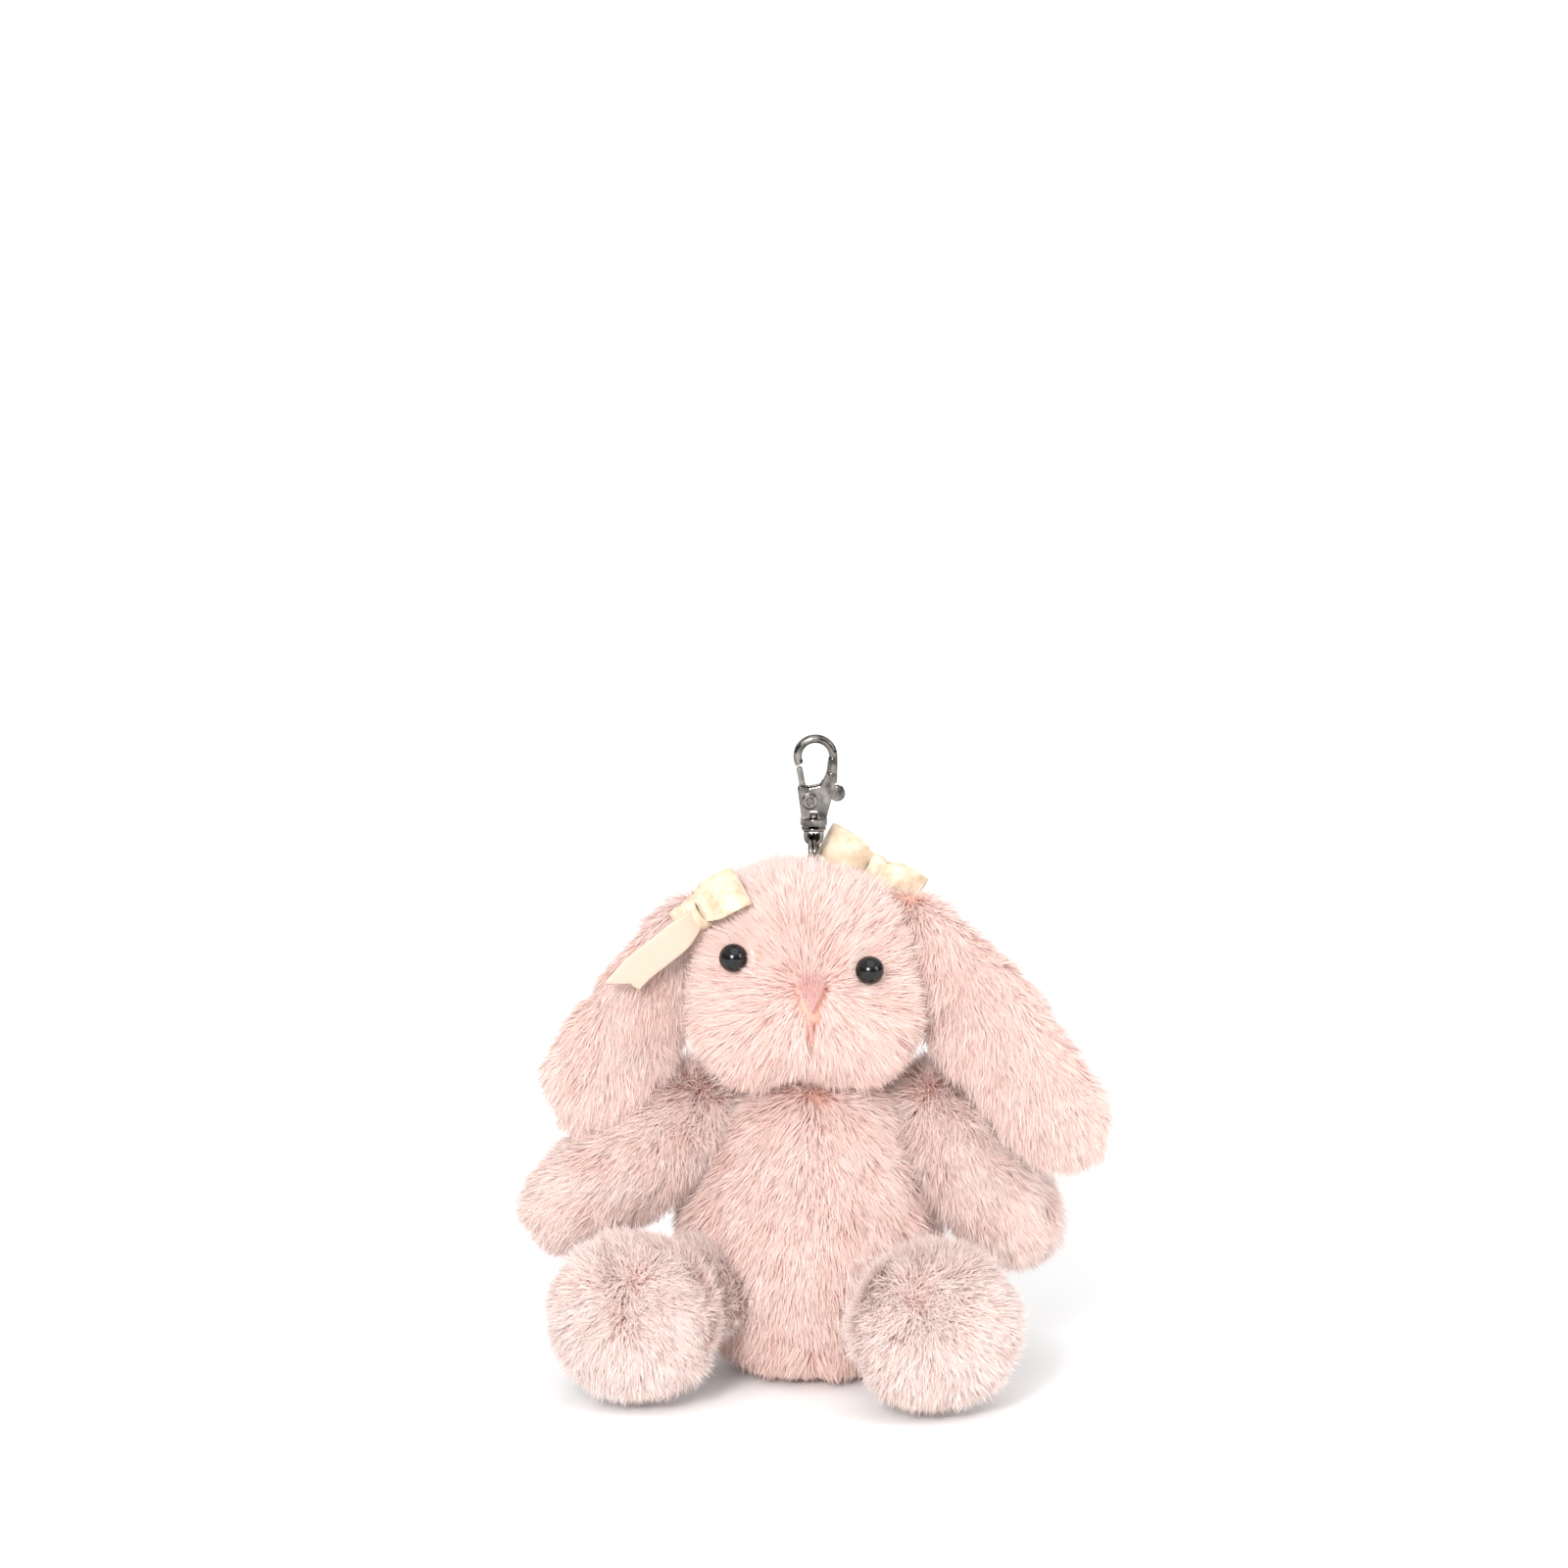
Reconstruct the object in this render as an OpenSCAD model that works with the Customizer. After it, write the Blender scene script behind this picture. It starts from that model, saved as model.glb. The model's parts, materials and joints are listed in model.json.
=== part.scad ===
// Plush rabbit keychain: a seated soft toy with lop ears and two ribbon bows,
// hung by a ribbon loop, a split ring and a swivelling trigger clasp.
// Millimetres. +Z is up, the face looks along -Y, and the origin is the centre of the flat seat.

/* [Pile fabric and gaps] */
// Thickness of the pile fabric, backing and fur together
pile = 5; // [3.5:0.1:6.5]
// Gap between soft parts that move against each other
soft_gap = 0.5; // [0.3:0.05:1]
// Gap between pieces sewn into one part
seam_gap = 0.1; // [0.05:0.01:0.2]

/* [Torso] */
// Radius of the belly
belly_r = 32; // [27:0.5:34]
// Height of the belly's centre above the seat
belly_z = 29.5; // [26:0.5:31]
// Radius of the rounded shoulders that the head sits on
chest_r = 25; // [21:0.5:26]
// Height of the centre of the rounded shoulders
chest_z = 57; // [54:0.5:60]
// Radius of the pellet pouch in the seat
pouch_r = 10; // [7:0.5:11]
// Radius of the tail
tail_r = 9.5; // [7:0.5:11]
// Height of the tail's centre
tail_z = 15; // [12:0.5:22]

/* [Head] */
// Radius of the head's rounding, which is half its height
head_r = 27.5; // [26:0.5:29]
// How much the head's width passes its height, on each side
head_wide = 2.6; // [1:0.1:5]
// Height of the head's centre
head_z = 100.5; // [98:0.5:104]
// How far the head's centre sits forward of the seat's centre
head_fwd = 4; // [0:0.5:6]
// How far the head leans to its right, measured at its centre
head_lean = 3; // [0:0.5:4]
// Half width of the gusset that runs over the head
gusset_half = 11; // [8:0.5:14]

/* [Face] */
// Diameter of each eye
eye_d = 7; // [5:0.1:8]
// How far each eye sits from the middle, to the side
eye_x = 17.4; // [14:0.1:20]
// Height of the eyes above the head's centre
eye_up = 8.7; // [4:0.1:12]
// Diameter of the lock washers behind the eyes
eye_washer_d = 8; // [7:0.1:10]
// Width of the embroidered nose
nose_w = 8; // [6:0.1:10]
// Height of the embroidered nose
nose_h = 11.5; // [8:0.1:14]
// Length of the mouth stitch under the nose
mouth_l = 5; // [3:0.1:8]

/* [Arms] */
// Radius of the arm's sewn root
shoulder_r = 10; // [7:0.1:10.5]
// Radius of the paw
paw_r = 13; // [11:0.1:13.5]

/* [Legs] */
// Radius of the leg's sewn root
hip_r = 9; // [7:0.1:10]
// Radius of the leg where it meets the foot
shin_r = 13; // [10:0.1:13.4]
// Radius of the round foot
foot_r = 23; // [20:0.1:24]
// Thickness of the foot from sole to instep
foot_t = 27; // [22:0.5:29]
// Thickness of the sole panel
sole_t = 5.5; // [4:0.1:8]

/* [Ears] */
// Radius of the ear's sewn root
ear_root_r = 8.5; // [6:0.1:9]
// Half width of the ear at its widest
ear_belly_r = 17.5; // [12:0.1:18]
// Half width of the ear near its tip
ear_tip_r = 15; // [11:0.1:15.5]
// Thickness of the ear as a share of its width
ear_flat = 0.42; // [0.35:0.01:0.5]

/* [Ribbons] */
// Width of the ribbon that the bows are tied from
ribbon_w = 8; // [6:0.1:10]
// Thickness of the ribbon
ribbon_t = 0.8; // [0.5:0.05:1.2]
// Width of the hanging loop's ribbon
loop_w = 5; // [4:0.1:5.4]
// Outer width of the hanging loop's arch
loop_span = 8; // [7.2:0.1:9]

/* [Split ring] */
// Outer diameter of the split ring
ring_d = 9.6; // [8.8:0.1:10]
// Diameter of the split ring's wire
ring_wire = 1.1; // [0.9:0.05:1.2]

/* [Trigger clasp] */
// Radius of the hole in the swivel eye
eye_hole_r = 1.45; // [1.4:0.05:1.6]
// Wall of the swivel eye around its hole
eye_wall = 1; // [0.8:0.05:1.3]
// Radius of the swivel's stem
stem_r = 1.1; // [0.9:0.05:1.3]
// Running clearance of the stem and the rivet in their bores
pin_gap = 0.05; // [0.03:0.01:0.08]
// Radius of the clasp's round collar
collar_r = 3.3; // [3:0.05:3.6]
// Height of the collar
collar_h = 1.8; // [1.4:0.1:2.2]
// Thickness of the clasp's body
body_t = 3.8; // [3.4:0.1:4.6]
// Radius of the hook's centre line
hook_r = 4.3; // [4:0.05:4.8]
// Radius of the hook's rod
rod_r = 1.05; // [0.9:0.05:1.15]
// Radius of the rivet that the lever turns on
rivet_r = 0.8; // [0.6:0.05:1]
// Thickness of the lever
lever_t = 1.2; // [1:0.05:1.3]

/* [Hidden] */

LEFT = 0;
RIGHT = 1;
FUR = "#f3cfc6";
FIBRE = "#f6f3ee";
RIBBON = "#efdcb4";
STEEL = "#c9c6c4";
round_fn = 64;
arc_steps = 8;
far = 400;

// Joint points, [left, right]
neck = [0, 0, chest_z];
shoulder = [[4 - belly_r, -1, chest_z + 8], [belly_r - 3, -1, chest_z + 8]];
paw = [[-belly_r - 26.5, -13, foot_r + 22], [belly_r + 18, -6.5, foot_r + 17.5]];
hip = [[10.5 - belly_r, 10.5 - belly_r, 16], [belly_r - 11.5, 8.6 - belly_r, 16]];
foot_sink = 0.6;
foot_z = foot_r - foot_sink;
foot = [[-belly_r - 10, -belly_r - 5, foot_z], [belly_r - 3.5, -belly_r - 14, foot_z]];
ear_root = [[-29, 0, head_z + 12.5], [23, 0, head_z + 12.5]];
ear_tip = [[-belly_r - 20.5, -10.5, 81.5], [belly_r + 27.5, -21, 67]];
ear_twist = [12, -12];
foot_turn = [-14, 12];
foot_tilt = 6;

head_c = [-head_lean, -head_fwd, head_z];
head_top = head_z + head_r;

// Hardware stack above the crown
crown_x = 0;
ring_lift = 1.05;
ring_c = [crown_x, 0, head_top + ring_lift];
ring_r = (ring_d - ring_wire) / 2;
eye_c = ring_c + [0, 0, ring_r];
yoke_t = 0.75;
eye_top = eye_hole_r + yoke_t;
stem_gap = 0.5;
clasp_c = eye_c + [0, 0, eye_top + stem_gap];
hook_c = [0.4, 16.9];
rivet_at = [-0.9, 6.1];
slot_t = 2.1;
nest_r = 7.6;
nest_z = head_top - pile - 2 * seam_gap;

// ---- helpers ----

function arc(cx, cy, r, from, to, n = arc_steps) =
    [for (i = [0:n]) let (t = from + (to - from) * i / n) [cx + r * cos(t), cy + r * sin(t)]];

// Half outline of two balls joined by their tangent cone, along Y from the first ball's centre
function capsule_half(length, r1, r2) =
    let (lean = asin((r1 - r2) / length))
    concat(arc(0, 0, r1, -90, lean), arc(0, length, r2, lean, 90));

// Puts +Z along a to b, with its origin at a
module along(a, b) {
    v = b - a;
    translate(a) rotate([0, acos(v.z / norm(v)), atan2(v.y, v.x)]) children();
}

module capsule(a, b, r1, r2) {
    along(a, b) rotate_extrude($fn = round_fn) polygon(capsule_half(norm(b - a), r1, r2));
}

module ball(c, r) {
    translate(c) sphere(r = r, $fn = round_fn);
}

// Keeps what lies on one side of the plane through a point: side is +1 or -1 along the axis
module keep_x(side, x) {
    intersection() {
        children();
        translate([side > 0 ? x : x - far, -far / 2, -far / 2]) cube(far);
    }
}

module keep_y(side, y) {
    intersection() {
        children();
        translate([-far / 2, side > 0 ? y : y - far, -far / 2]) cube(far);
    }
}

module keep_z(side, z) {
    intersection() {
        children();
        translate([-far / 2, -far / 2, side > 0 ? z : z - far]) cube(far);
    }
}

// A plate outline in the XZ plane, given its thickness centred on Y
module plate(t) {
    translate([0, t / 2, 0]) rotate([90, 0, 0]) linear_extrude(t) children();
}

module bar2d(a, b, r) {
    v = b - a;
    translate(a) rotate(atan2(v.y, v.x)) translate([0, -r]) square([norm(v), 2 * r]);
    translate(a) circle(r = r, $fn = round_fn);
    translate(b) circle(r = r, $fn = round_fn);
}

// ---- torso ----

// The torso's half outline: a flat seat, the belly's curve, the tapering side, and the shoulders
module torso_solid(inset) {
    r1 = belly_r - inset;
    r2 = chest_r - inset;
    seat = belly_z - inset;
    rise = chest_z - belly_z;
    lean = asin((r1 - r2) / rise);
    translate([0, 0, belly_z]) rotate_extrude($fn = round_fn)
        polygon(concat([[0, -seat]], arc(0, 0, r1, -asin(seat / r1), lean), arc(0, rise, r2, lean, 90)));
}

// What the arms, the legs and the tail take out of the torso: their sockets, flared as far as they swing
module torso_sockets() {
    for (side = [LEFT, RIGHT]) {
        arm_socket(side);
        capsule(hip[side], (hip[side] + foot[side]) / 2, hip_r + soft_gap, hip_r + soft_gap + hip_flare);
    }
    ball(tail_c(), tail_r + seam_gap);
}

// The sockets' inner faces, a fabric's thickness further in
module socket_backs(grow) {
    for (side = [LEFT, RIGHT]) {
        ball(shoulder[side], shoulder_r + soft_gap + grow);
        ball(hip[side], hip_r + soft_gap + grow);
    }
    ball(tail_c(), tail_r + seam_gap + grow);
}

hip_flare = 4;
arm_flare = 60;

// A round socket that opens into a cone about the arm's own turning axis
module arm_socket(side) {
    r = shoulder_r + soft_gap;
    steep = [cos(90 - arm_flare), sin(90 - arm_flare)];
    from = [r * sin(90 - arm_flare), -r * cos(90 - arm_flare)];
    reach = -from.y / steep.y;
    translate(shoulder[side]) rotate([0, side == LEFT ? -90 : 90, 0]) rotate_extrude($fn = round_fn)
        polygon(concat(arc(0, 0, r, -90, -arm_flare), [from + reach * steep, [0, 0]]));
}

// How far the tail ball's middle sits inside the belly's outline
tail_sink = 1.5;

function tail_c() = [0, belly_r - tail_sink, tail_z];

module torso_cover() {
    difference() {
        torso_solid(0);
        torso_sockets();
        difference() {
            torso_solid(pile);
            socket_backs(pile);
        }
    }
}

module torso_front_panel() {
    color(FUR) keep_y(-1, -seam_gap / 2) torso_cover();
}

module torso_back_panel() {
    color(FUR) keep_y(1, seam_gap / 2) torso_cover();
}

pouch_back = 2;
pouch_lift = 1;
pouch_c = [0, pouch_back, pile + seam_gap + pouch_r + pouch_lift];

module torso_stuffing() {
    color(FIBRE) difference() {
        torso_solid(pile + seam_gap);
        socket_backs(pile + seam_gap);
        ball(pouch_c, pouch_r + seam_gap);
    }
}

module pellet_pouch() {
    color("#e9e4da") ball(pouch_c, pouch_r);
}

module tail_cover() {
    color(FUR) difference() {
        ball(tail_c(), tail_r);
        ball(tail_c(), tail_r - pile);
    }
}

module tail_stuffing() {
    color(FIBRE) ball(tail_c(), tail_r - pile - seam_gap);
}

// ---- head ----

module head_solid(inset) {
    r = head_r - inset;
    translate(head_c) rotate_extrude($fn = round_fn)
        polygon(concat([[0, -r]], arc(head_wide, 0, r, -90, 90, 2 * arc_steps), [[0, r]]));
}

// The hollow under the head that rides on the rounded shoulders
module neck_hollow(grow) {
    ball(neck, chest_r + soft_gap + grow);
}

module ear_sockets(grow) {
    for (side = [LEFT, RIGHT]) ball(ear_root[side], ear_root_r + soft_gap + grow);
}

// Parting in the fur where the hanging loop and the ring stand
module crown_nest() {
    translate([crown_x, 0, nest_z]) cylinder(r = nest_r, h = 2 * pile, $fn = round_fn);
}

// Room for an eye: its ball in the fur and its stem and washer behind the fabric
module eye_room(side) {
    at_eye(side) {
        translate([0, 0, eye_seat - eye_d / 2])
            cylinder(r = eye_d / 2 + seam_gap, h = 3 * pile, $fn = round_fn);
        translate([0, 0, -eye_stem_l])
            cylinder(r = eye_stem_r + seam_gap, h = eye_stem_l + pile, $fn = round_fn);
        translate([0, 0, -eye_stem_l - seam_gap])
            cylinder(r = eye_washer_d / 2 + seam_gap, h = eye_stem_l + seam_gap, $fn = round_fn);
    }
}

// Embroidery lies in a shallow parting of the fur
module nose_room() {
    at_nose() translate([0, 0, -seam_gap]) plate_up(2 * pile) nose_outline(seam_gap);
    at_mouth() translate([0, 0, -seam_gap]) plate_up(2 * pile) mouth_outline(seam_gap);
}

module head_cover() {
    difference() {
        head_solid(0);
        neck_hollow(0);
        for (side = [LEFT, RIGHT]) arm_solid(side, -soft_gap);
        ear_sockets(0);
        crown_nest();
        loop_room();
        nose_room();
        eye_room(LEFT);
        eye_room(RIGHT);
        bow_rooms();
        head_core(0);
    }
}

module head_core(grow) {
    difference() {
        head_solid(pile + grow);
        neck_hollow(pile + grow);
        ear_sockets(pile + grow);
    }
}

module head_left_panel() {
    color(FUR) keep_x(-1, -gusset_half - seam_gap / 2) head_cover();
}

module head_right_panel() {
    color(FUR) keep_x(1, gusset_half + seam_gap / 2) head_cover();
}

module head_gusset() {
    color(FUR) keep_x(1, -gusset_half + seam_gap / 2) keep_x(-1, gusset_half - seam_gap / 2) head_cover();
}

module head_stuffing() {
    color(FIBRE) difference() {
        head_core(seam_gap);
        loop_room();
        eye_room(LEFT);
        eye_room(RIGHT);
    }
}

// ---- face ----

eye_seat = 3.2;
eye_stem_r = 1.2;
eye_stem_l = 5;
eye_washer_t = 1.2;
eye_drop = [0, 3];
// How much of an eye's ball lies behind its middle
eye_ball_back = 1.4;

// Frame of an eye: +Z points out of the face, with its origin on the fabric's inner face
module at_eye(side) {
    sx = side == LEFT ? -1 : 1;
    up = eye_up - eye_drop[side];
    reach = head_wide + sqrt(pow(head_r, 2) - pow(up, 2));
    fwd = sqrt(pow(reach, 2) - pow(eye_x, 2));
    out = [sx * eye_x, -fwd, up];
    along(head_c + out * (1 - pile / norm(out)), head_c + out) children();
}

module safety_eye(side) {
    color("#1a1514") at_eye(side) {
        intersection() {
            ball([0, 0, eye_seat], eye_d / 2);
            translate([0, 0, eye_seat - eye_ball_back]) cylinder(r = eye_d, h = eye_d, $fn = round_fn);
        }
        translate([0, 0, eye_washer_t - eye_stem_l])
            cylinder(r = eye_stem_r, h = eye_stem_l + eye_seat, $fn = round_fn);
    }
}

module eye_washer(side) {
    color("#e8e6e0") at_eye(side) translate([0, 0, -eye_washer_t]) difference() {
        cylinder(r = eye_washer_d / 2, h = eye_washer_t, $fn = round_fn);
        translate([0, 0, -1]) cylinder(r = eye_stem_r + seam_gap, h = eye_washer_t + 2, $fn = round_fn);
    }
}

module left_eye() { safety_eye(LEFT); }
module right_eye() { safety_eye(RIGHT); }
module left_eye_washer() { eye_washer(LEFT); }
module right_eye_washer() { eye_washer(RIGHT); }

nose_x = 2.3;
nose_up = -0.2;
stitch_t = 1.1;
nose_depth = 1.6;
nose_crown = 0.62;
mouth_w = 0.9;
mouth_step = 0.9;
mouth_lean = 6;

// Frames of the embroidery: XY is the face, +Z points forward out of it
module at_nose() {
    translate(head_c + [nose_x, -head_r - head_wide + nose_depth, nose_up]) rotate([90, 0, 0]) children();
}

module at_mouth() {
    fwd = head_r + head_wide - nose_depth - mouth_step;
    translate(head_c + [nose_x, -fwd, nose_up - nose_h / 2 - 3 * seam_gap])
        rotate([90 + mouth_lean, 0, 0]) children();
}

module plate_up(t) {
    linear_extrude(t) children();
}

// A shield: rounded at the top and narrowing to a point
module nose_outline(grow) {
    w = nose_w / 2 + grow;
    top = nose_h / 2 + grow;
    polygon(concat(arc(0, top - w * nose_crown, w, 0, 180), [[0, -top]]));
}

module mouth_outline(grow) {
    translate([-mouth_w / 2 - grow, -mouth_l - grow]) square([mouth_w + 2 * grow, mouth_l + 2 * grow]);
}

module nose_stitches() {
    color("#dbb3b0") at_nose() plate_up(stitch_t) nose_outline(0);
}

module mouth_stitch() {
    color("#c99a94") at_mouth() plate_up(stitch_t) mouth_outline(0);
}

// ---- hanging loop ----

// The loop's crest hangs inside the ring, its foot is sewn in below the crown
loop_top = ring_c.z - ring_wire / 2;
loop_root = 9;
loop_base = 2;
loop_foot = nest_z - loop_root;

module loop_outline(grow) {
    r = loop_span / 2 + grow;
    translate([0, loop_top - loop_span / 2]) circle(r = r, $fn = round_fn);
    translate([-r, loop_foot]) square([2 * r, loop_top - loop_span / 2 - loop_foot]);
}

module loop_room() {
    translate([crown_x, 0, 0]) plate(loop_w + 2 * seam_gap)
        translate([-loop_span / 2 - seam_gap, loop_foot - seam_gap])
            square([loop_span + 2 * seam_gap, loop_top - loop_foot]);
}

module hanging_loop() {
    color(RIBBON) translate([crown_x, 0, 0]) plate(loop_w) difference() {
        loop_outline(0);
        loop_hole();
    }
}

module loop_hole() {
    r = loop_span / 2 - ribbon_t;
    translate([0, loop_top - loop_span / 2]) circle(r = r, $fn = round_fn);
    translate([-r, loop_foot + loop_base]) square([2 * r, loop_top - loop_span / 2 - loop_foot - loop_base]);
}

// ---- bows ----

// Each bow: knot place, and the lean of its loops and tails in the frontal plane
knot_way = [[-25, -11, 17], [18.5, 14, 22.5]];
knot_out = [4.672, 4.818];
knot_at = [for (side = [0, 1])
    head_c + knot_way[side] / norm(knot_way[side]) * (head_r + knot_out[side])];
bow_lean = [34, -30];
bow_turn = [-32, 14];
knot_l = 5;
knot_d = 5.5;
loop_len = [[6, 14], [13.5, 11]];
tail_len = [22, 9];
// A loop's half thickness at the knot, where it is fullest and at its end, and how far along it is fullest
loop_neck = 1;
loop_full = 2.6;
loop_end = 1.4;
loop_full_at = 0.8;
// Where a tail leaves the knot: beyond its side and in front of it
tail_off = 1.2;
tail_out = 3.2;

module at_knot(side, turn) {
    translate(knot_at[side]) rotate([0, 0, turn]) rotate([0, -bow_lean[side], 0]) children();
}

// One leaf-shaped ribbon loop that widens away from the knot
module bow_loop(dir, len, grow) {
    mirror([dir, 0, 0]) translate([0, 0, -ribbon_w / 2 - grow])
        linear_extrude(ribbon_w + 2 * grow)
            polygon([[knot_d / 2 - grow, -loop_neck - grow], [len * loop_full_at, -loop_full - grow],
                [len + grow, -loop_end - grow], [len + grow, loop_end + grow],
                [len * loop_full_at, loop_full + grow], [knot_d / 2 - grow, loop_neck + grow]]);
}

module bow_tail(drop, len, grow) {
    start = [knot_d / 2 + tail_off, -tail_out - ribbon_t, -ribbon_w / 2];
    rotate([0, drop, 0]) translate(start - [grow, grow, grow])
        cube([len + 2 * grow, ribbon_t + 2 * grow, ribbon_w + 2 * grow]);
}

tail_drop = [172, 12];
tail_turn = [6, 14];

module bow_loops(side, grow = 0) {
    at_knot(side, bow_turn[side]) for (dir = [0, 1]) bow_loop(1 - dir, loop_len[side][dir], grow);
}

module bow_knot(side, grow = 0) {
    at_knot(side, bow_turn[side]) translate([0, 0, -knot_l])
        cylinder(r = knot_d / 2 - seam_gap + grow, h = 2 * knot_l, $fn = round_fn);
}

module bow_tails(side, grow = 0) {
    at_knot(side, tail_turn[side]) bow_tail(tail_drop[side], tail_len[side], grow);
}

module bow_rooms() {
    for (side = [LEFT, RIGHT]) {
        bow_loops(side, seam_gap);
        bow_knot(side, seam_gap);
        bow_tails(side, seam_gap);
    }
}

module left_bow_loops() { color(RIBBON) bow_loops(LEFT); }
module left_bow_knot() { color(RIBBON) bow_knot(LEFT); }
module left_bow_tails() { color(RIBBON) bow_tails(LEFT); }
module right_bow_loops() { color(RIBBON) bow_loops(RIGHT); }
module right_bow_knot() { color(RIBBON) bow_knot(RIGHT); }
module right_bow_tails() { color(RIBBON) bow_tails(RIGHT); }

// ---- ears ----

// Frame of an ear: Z runs from root to tip, X across its width, and Y through its thickness
module at_ear(side) {
    v = ear_tip[side] - ear_root[side];
    translate(ear_root[side])
        rotate([0, acos(v.z / norm(v)), atan2(v.y, v.x)])
            rotate([0, 0, (side == LEFT ? 180 : 0) + ear_twist[side]]) children();
}

// A leaf, widest a third of the way down, flattened to the ear's thickness
module ear_blade(side, inset) {
    length = norm(ear_tip[side] - ear_root[side]);
    belly = length * ear_belly_at;
    scale([1, ear_flat, 1]) rotate_extrude($fn = round_fn) {
        polygon(capsule_half(belly, ear_root_r - inset, ear_belly_r - inset));
        translate([0, belly]) polygon(capsule_half(length - belly, ear_belly_r - inset, ear_tip_r - inset));
    }
}

ear_belly_at = 0.55;
wadding_t = 2.4;

// What the head takes out of an ear: all but the root that sits in its socket
module beside_head(side) {
    difference() {
        children();
        difference() {
            head_solid(-soft_gap);
            ball(ear_root[side], ear_root_r);
        }
    }
}

module ear_panel(side, face) {
    color(FUR) beside_head(side) at_ear(side)
        keep_y(face, face * (wadding_t / 2 + seam_gap)) ear_blade(side, 0);
}

module ear_wadding(side) {
    color(FIBRE) beside_head(side) at_ear(side)
        keep_y(1, -wadding_t / 2) keep_y(-1, wadding_t / 2) ear_blade(side, pile / 2);
}

module left_ear_front() { ear_panel(LEFT, -1); }
module left_ear_back() { ear_panel(LEFT, 1); }
module left_ear_wadding() { ear_wadding(LEFT); }
module right_ear_front() { ear_panel(RIGHT, -1); }
module right_ear_back() { ear_panel(RIGHT, 1); }
module right_ear_wadding() { ear_wadding(RIGHT); }

// ---- arms ----

module arm_solid(side, inset) {
    capsule(shoulder[side], paw[side], shoulder_r - inset, paw_r - inset);
}

module arm_panel(side, face) {
    color(FUR) translate(shoulder[side]) rotate(arm_turn(side)) keep_y(face, face * seam_gap / 2)
        rotate(-arm_turn(side)) translate(-shoulder[side]) difference() {
            arm_solid(side, 0);
            arm_solid(side, pile);
        }
}

// An arm's side seams lie in the upright plane that holds the arm's own length
function arm_turn(side) =
    let (v = paw[side] - shoulder[side])
    atan2(v.y, v.x) + (side == LEFT ? 180 : 0);

module arm_stuffing(side) {
    color(FIBRE) arm_solid(side, pile + seam_gap);
}

module left_arm_front() { arm_panel(LEFT, -1); }
module left_arm_back() { arm_panel(LEFT, 1); }
module left_arm_stuffing() { arm_stuffing(LEFT); }
module right_arm_front() { arm_panel(RIGHT, -1); }
module right_arm_back() { arm_panel(RIGHT, 1); }
module right_arm_stuffing() { arm_stuffing(RIGHT); }

// ---- legs ----

// Frame of a foot: +Z points out of the sole
module at_foot(side) {
    translate(foot[side]) rotate([90 - foot_tilt, 0, foot_turn[side]]) children();
}

module foot_puck(inset) {
    edge = foot_t / 2 - inset;
    flat = foot_r - foot_t / 2;
    rotate_extrude($fn = round_fn)
        polygon(concat([[0, -edge]], arc(flat, 0, edge, -90, 90, 2 * arc_steps), [[0, edge]]));
}

module leg_solid(side, inset) {
    keep_z(1, inset) {
        at_foot(side) foot_puck(inset);
        capsule(hip[side], foot[side], hip_r - inset, shin_r - inset);
    }
}

module leg_cover(side) {
    difference() {
        leg_solid(side, 0);
        leg_solid(side, pile);
    }
}

sole_face = foot_t / 2 - sole_t;

module sole_side(side, keep_sole) {
    start = keep_sole ? sole_face + seam_gap / 2 : sole_face - seam_gap / 2 - far;
    intersection() {
        children();
        at_foot(side) translate([-far / 2, -far / 2, start]) cube(far);
    }
}

module foot_sole(side) {
    color("#f5d9d0") sole_side(side, true) leg_cover(side);
}

module leg_panel(side, face) {
    color(FUR) keep_z(face, hip[side].z + face * seam_gap / 2) sole_side(side, false) leg_cover(side);
}

module leg_stuffing(side) {
    color(FIBRE) leg_solid(side, pile + seam_gap);
}

module left_leg_upper() { leg_panel(LEFT, 1); }
module left_leg_lower() { leg_panel(LEFT, -1); }
module left_foot_sole() { foot_sole(LEFT); }
module left_leg_stuffing() { leg_stuffing(LEFT); }
module right_leg_upper() { leg_panel(RIGHT, 1); }
module right_leg_lower() { leg_panel(RIGHT, -1); }
module right_foot_sole() { foot_sole(RIGHT); }
module right_leg_stuffing() { leg_stuffing(RIGHT); }

// ---- split ring ----

// The two turns lie a little closer than a wire's width, so that they bite into one solid
coil_pitch = 0.94;

module split_ring() {
    color(STEEL) translate(ring_c) rotate([0, 90, 0]) rotate_extrude($fn = round_fn)
        for (turn = [-1, 1]) translate([ring_r, turn * ring_wire * coil_pitch / 2])
            circle(r = ring_wire / 2, $fn = round_fn);
}

// ---- trigger clasp ----

stem_head_h = 0.8;
stem_head_r = stem_r + 0.6;
eye_t = 2.2;
eye_out_r = eye_hole_r + eye_wall;
yoke_r = collar_r - 0.3;
// How deep one part of a casting runs into the next
bite = 0.1;

module swivel_eye() {
    color(STEEL) translate(eye_c) {
        difference() {
            union() {
                plate(eye_t) {
                    circle(r = eye_out_r, $fn = round_fn);
                    translate([-eye_out_r, 0]) square([2 * eye_out_r, eye_top - yoke_t / 2]);
                }
                translate([0, 0, eye_top - yoke_t]) cylinder(r = yoke_r, h = yoke_t, $fn = round_fn);
            }
            plate(3 * eye_t) circle(r = eye_hole_r, $fn = round_fn);
        }
        translate([0, 0, eye_top - bite])
            cylinder(r = stem_r, h = stem_gap + collar_h + 2 * bite, $fn = round_fn);
        translate([0, 0, eye_top + stem_gap + collar_h + pin_gap])
            cylinder(r = stem_head_r, h = stem_head_h, $fn = round_fn);
    }
}

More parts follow.
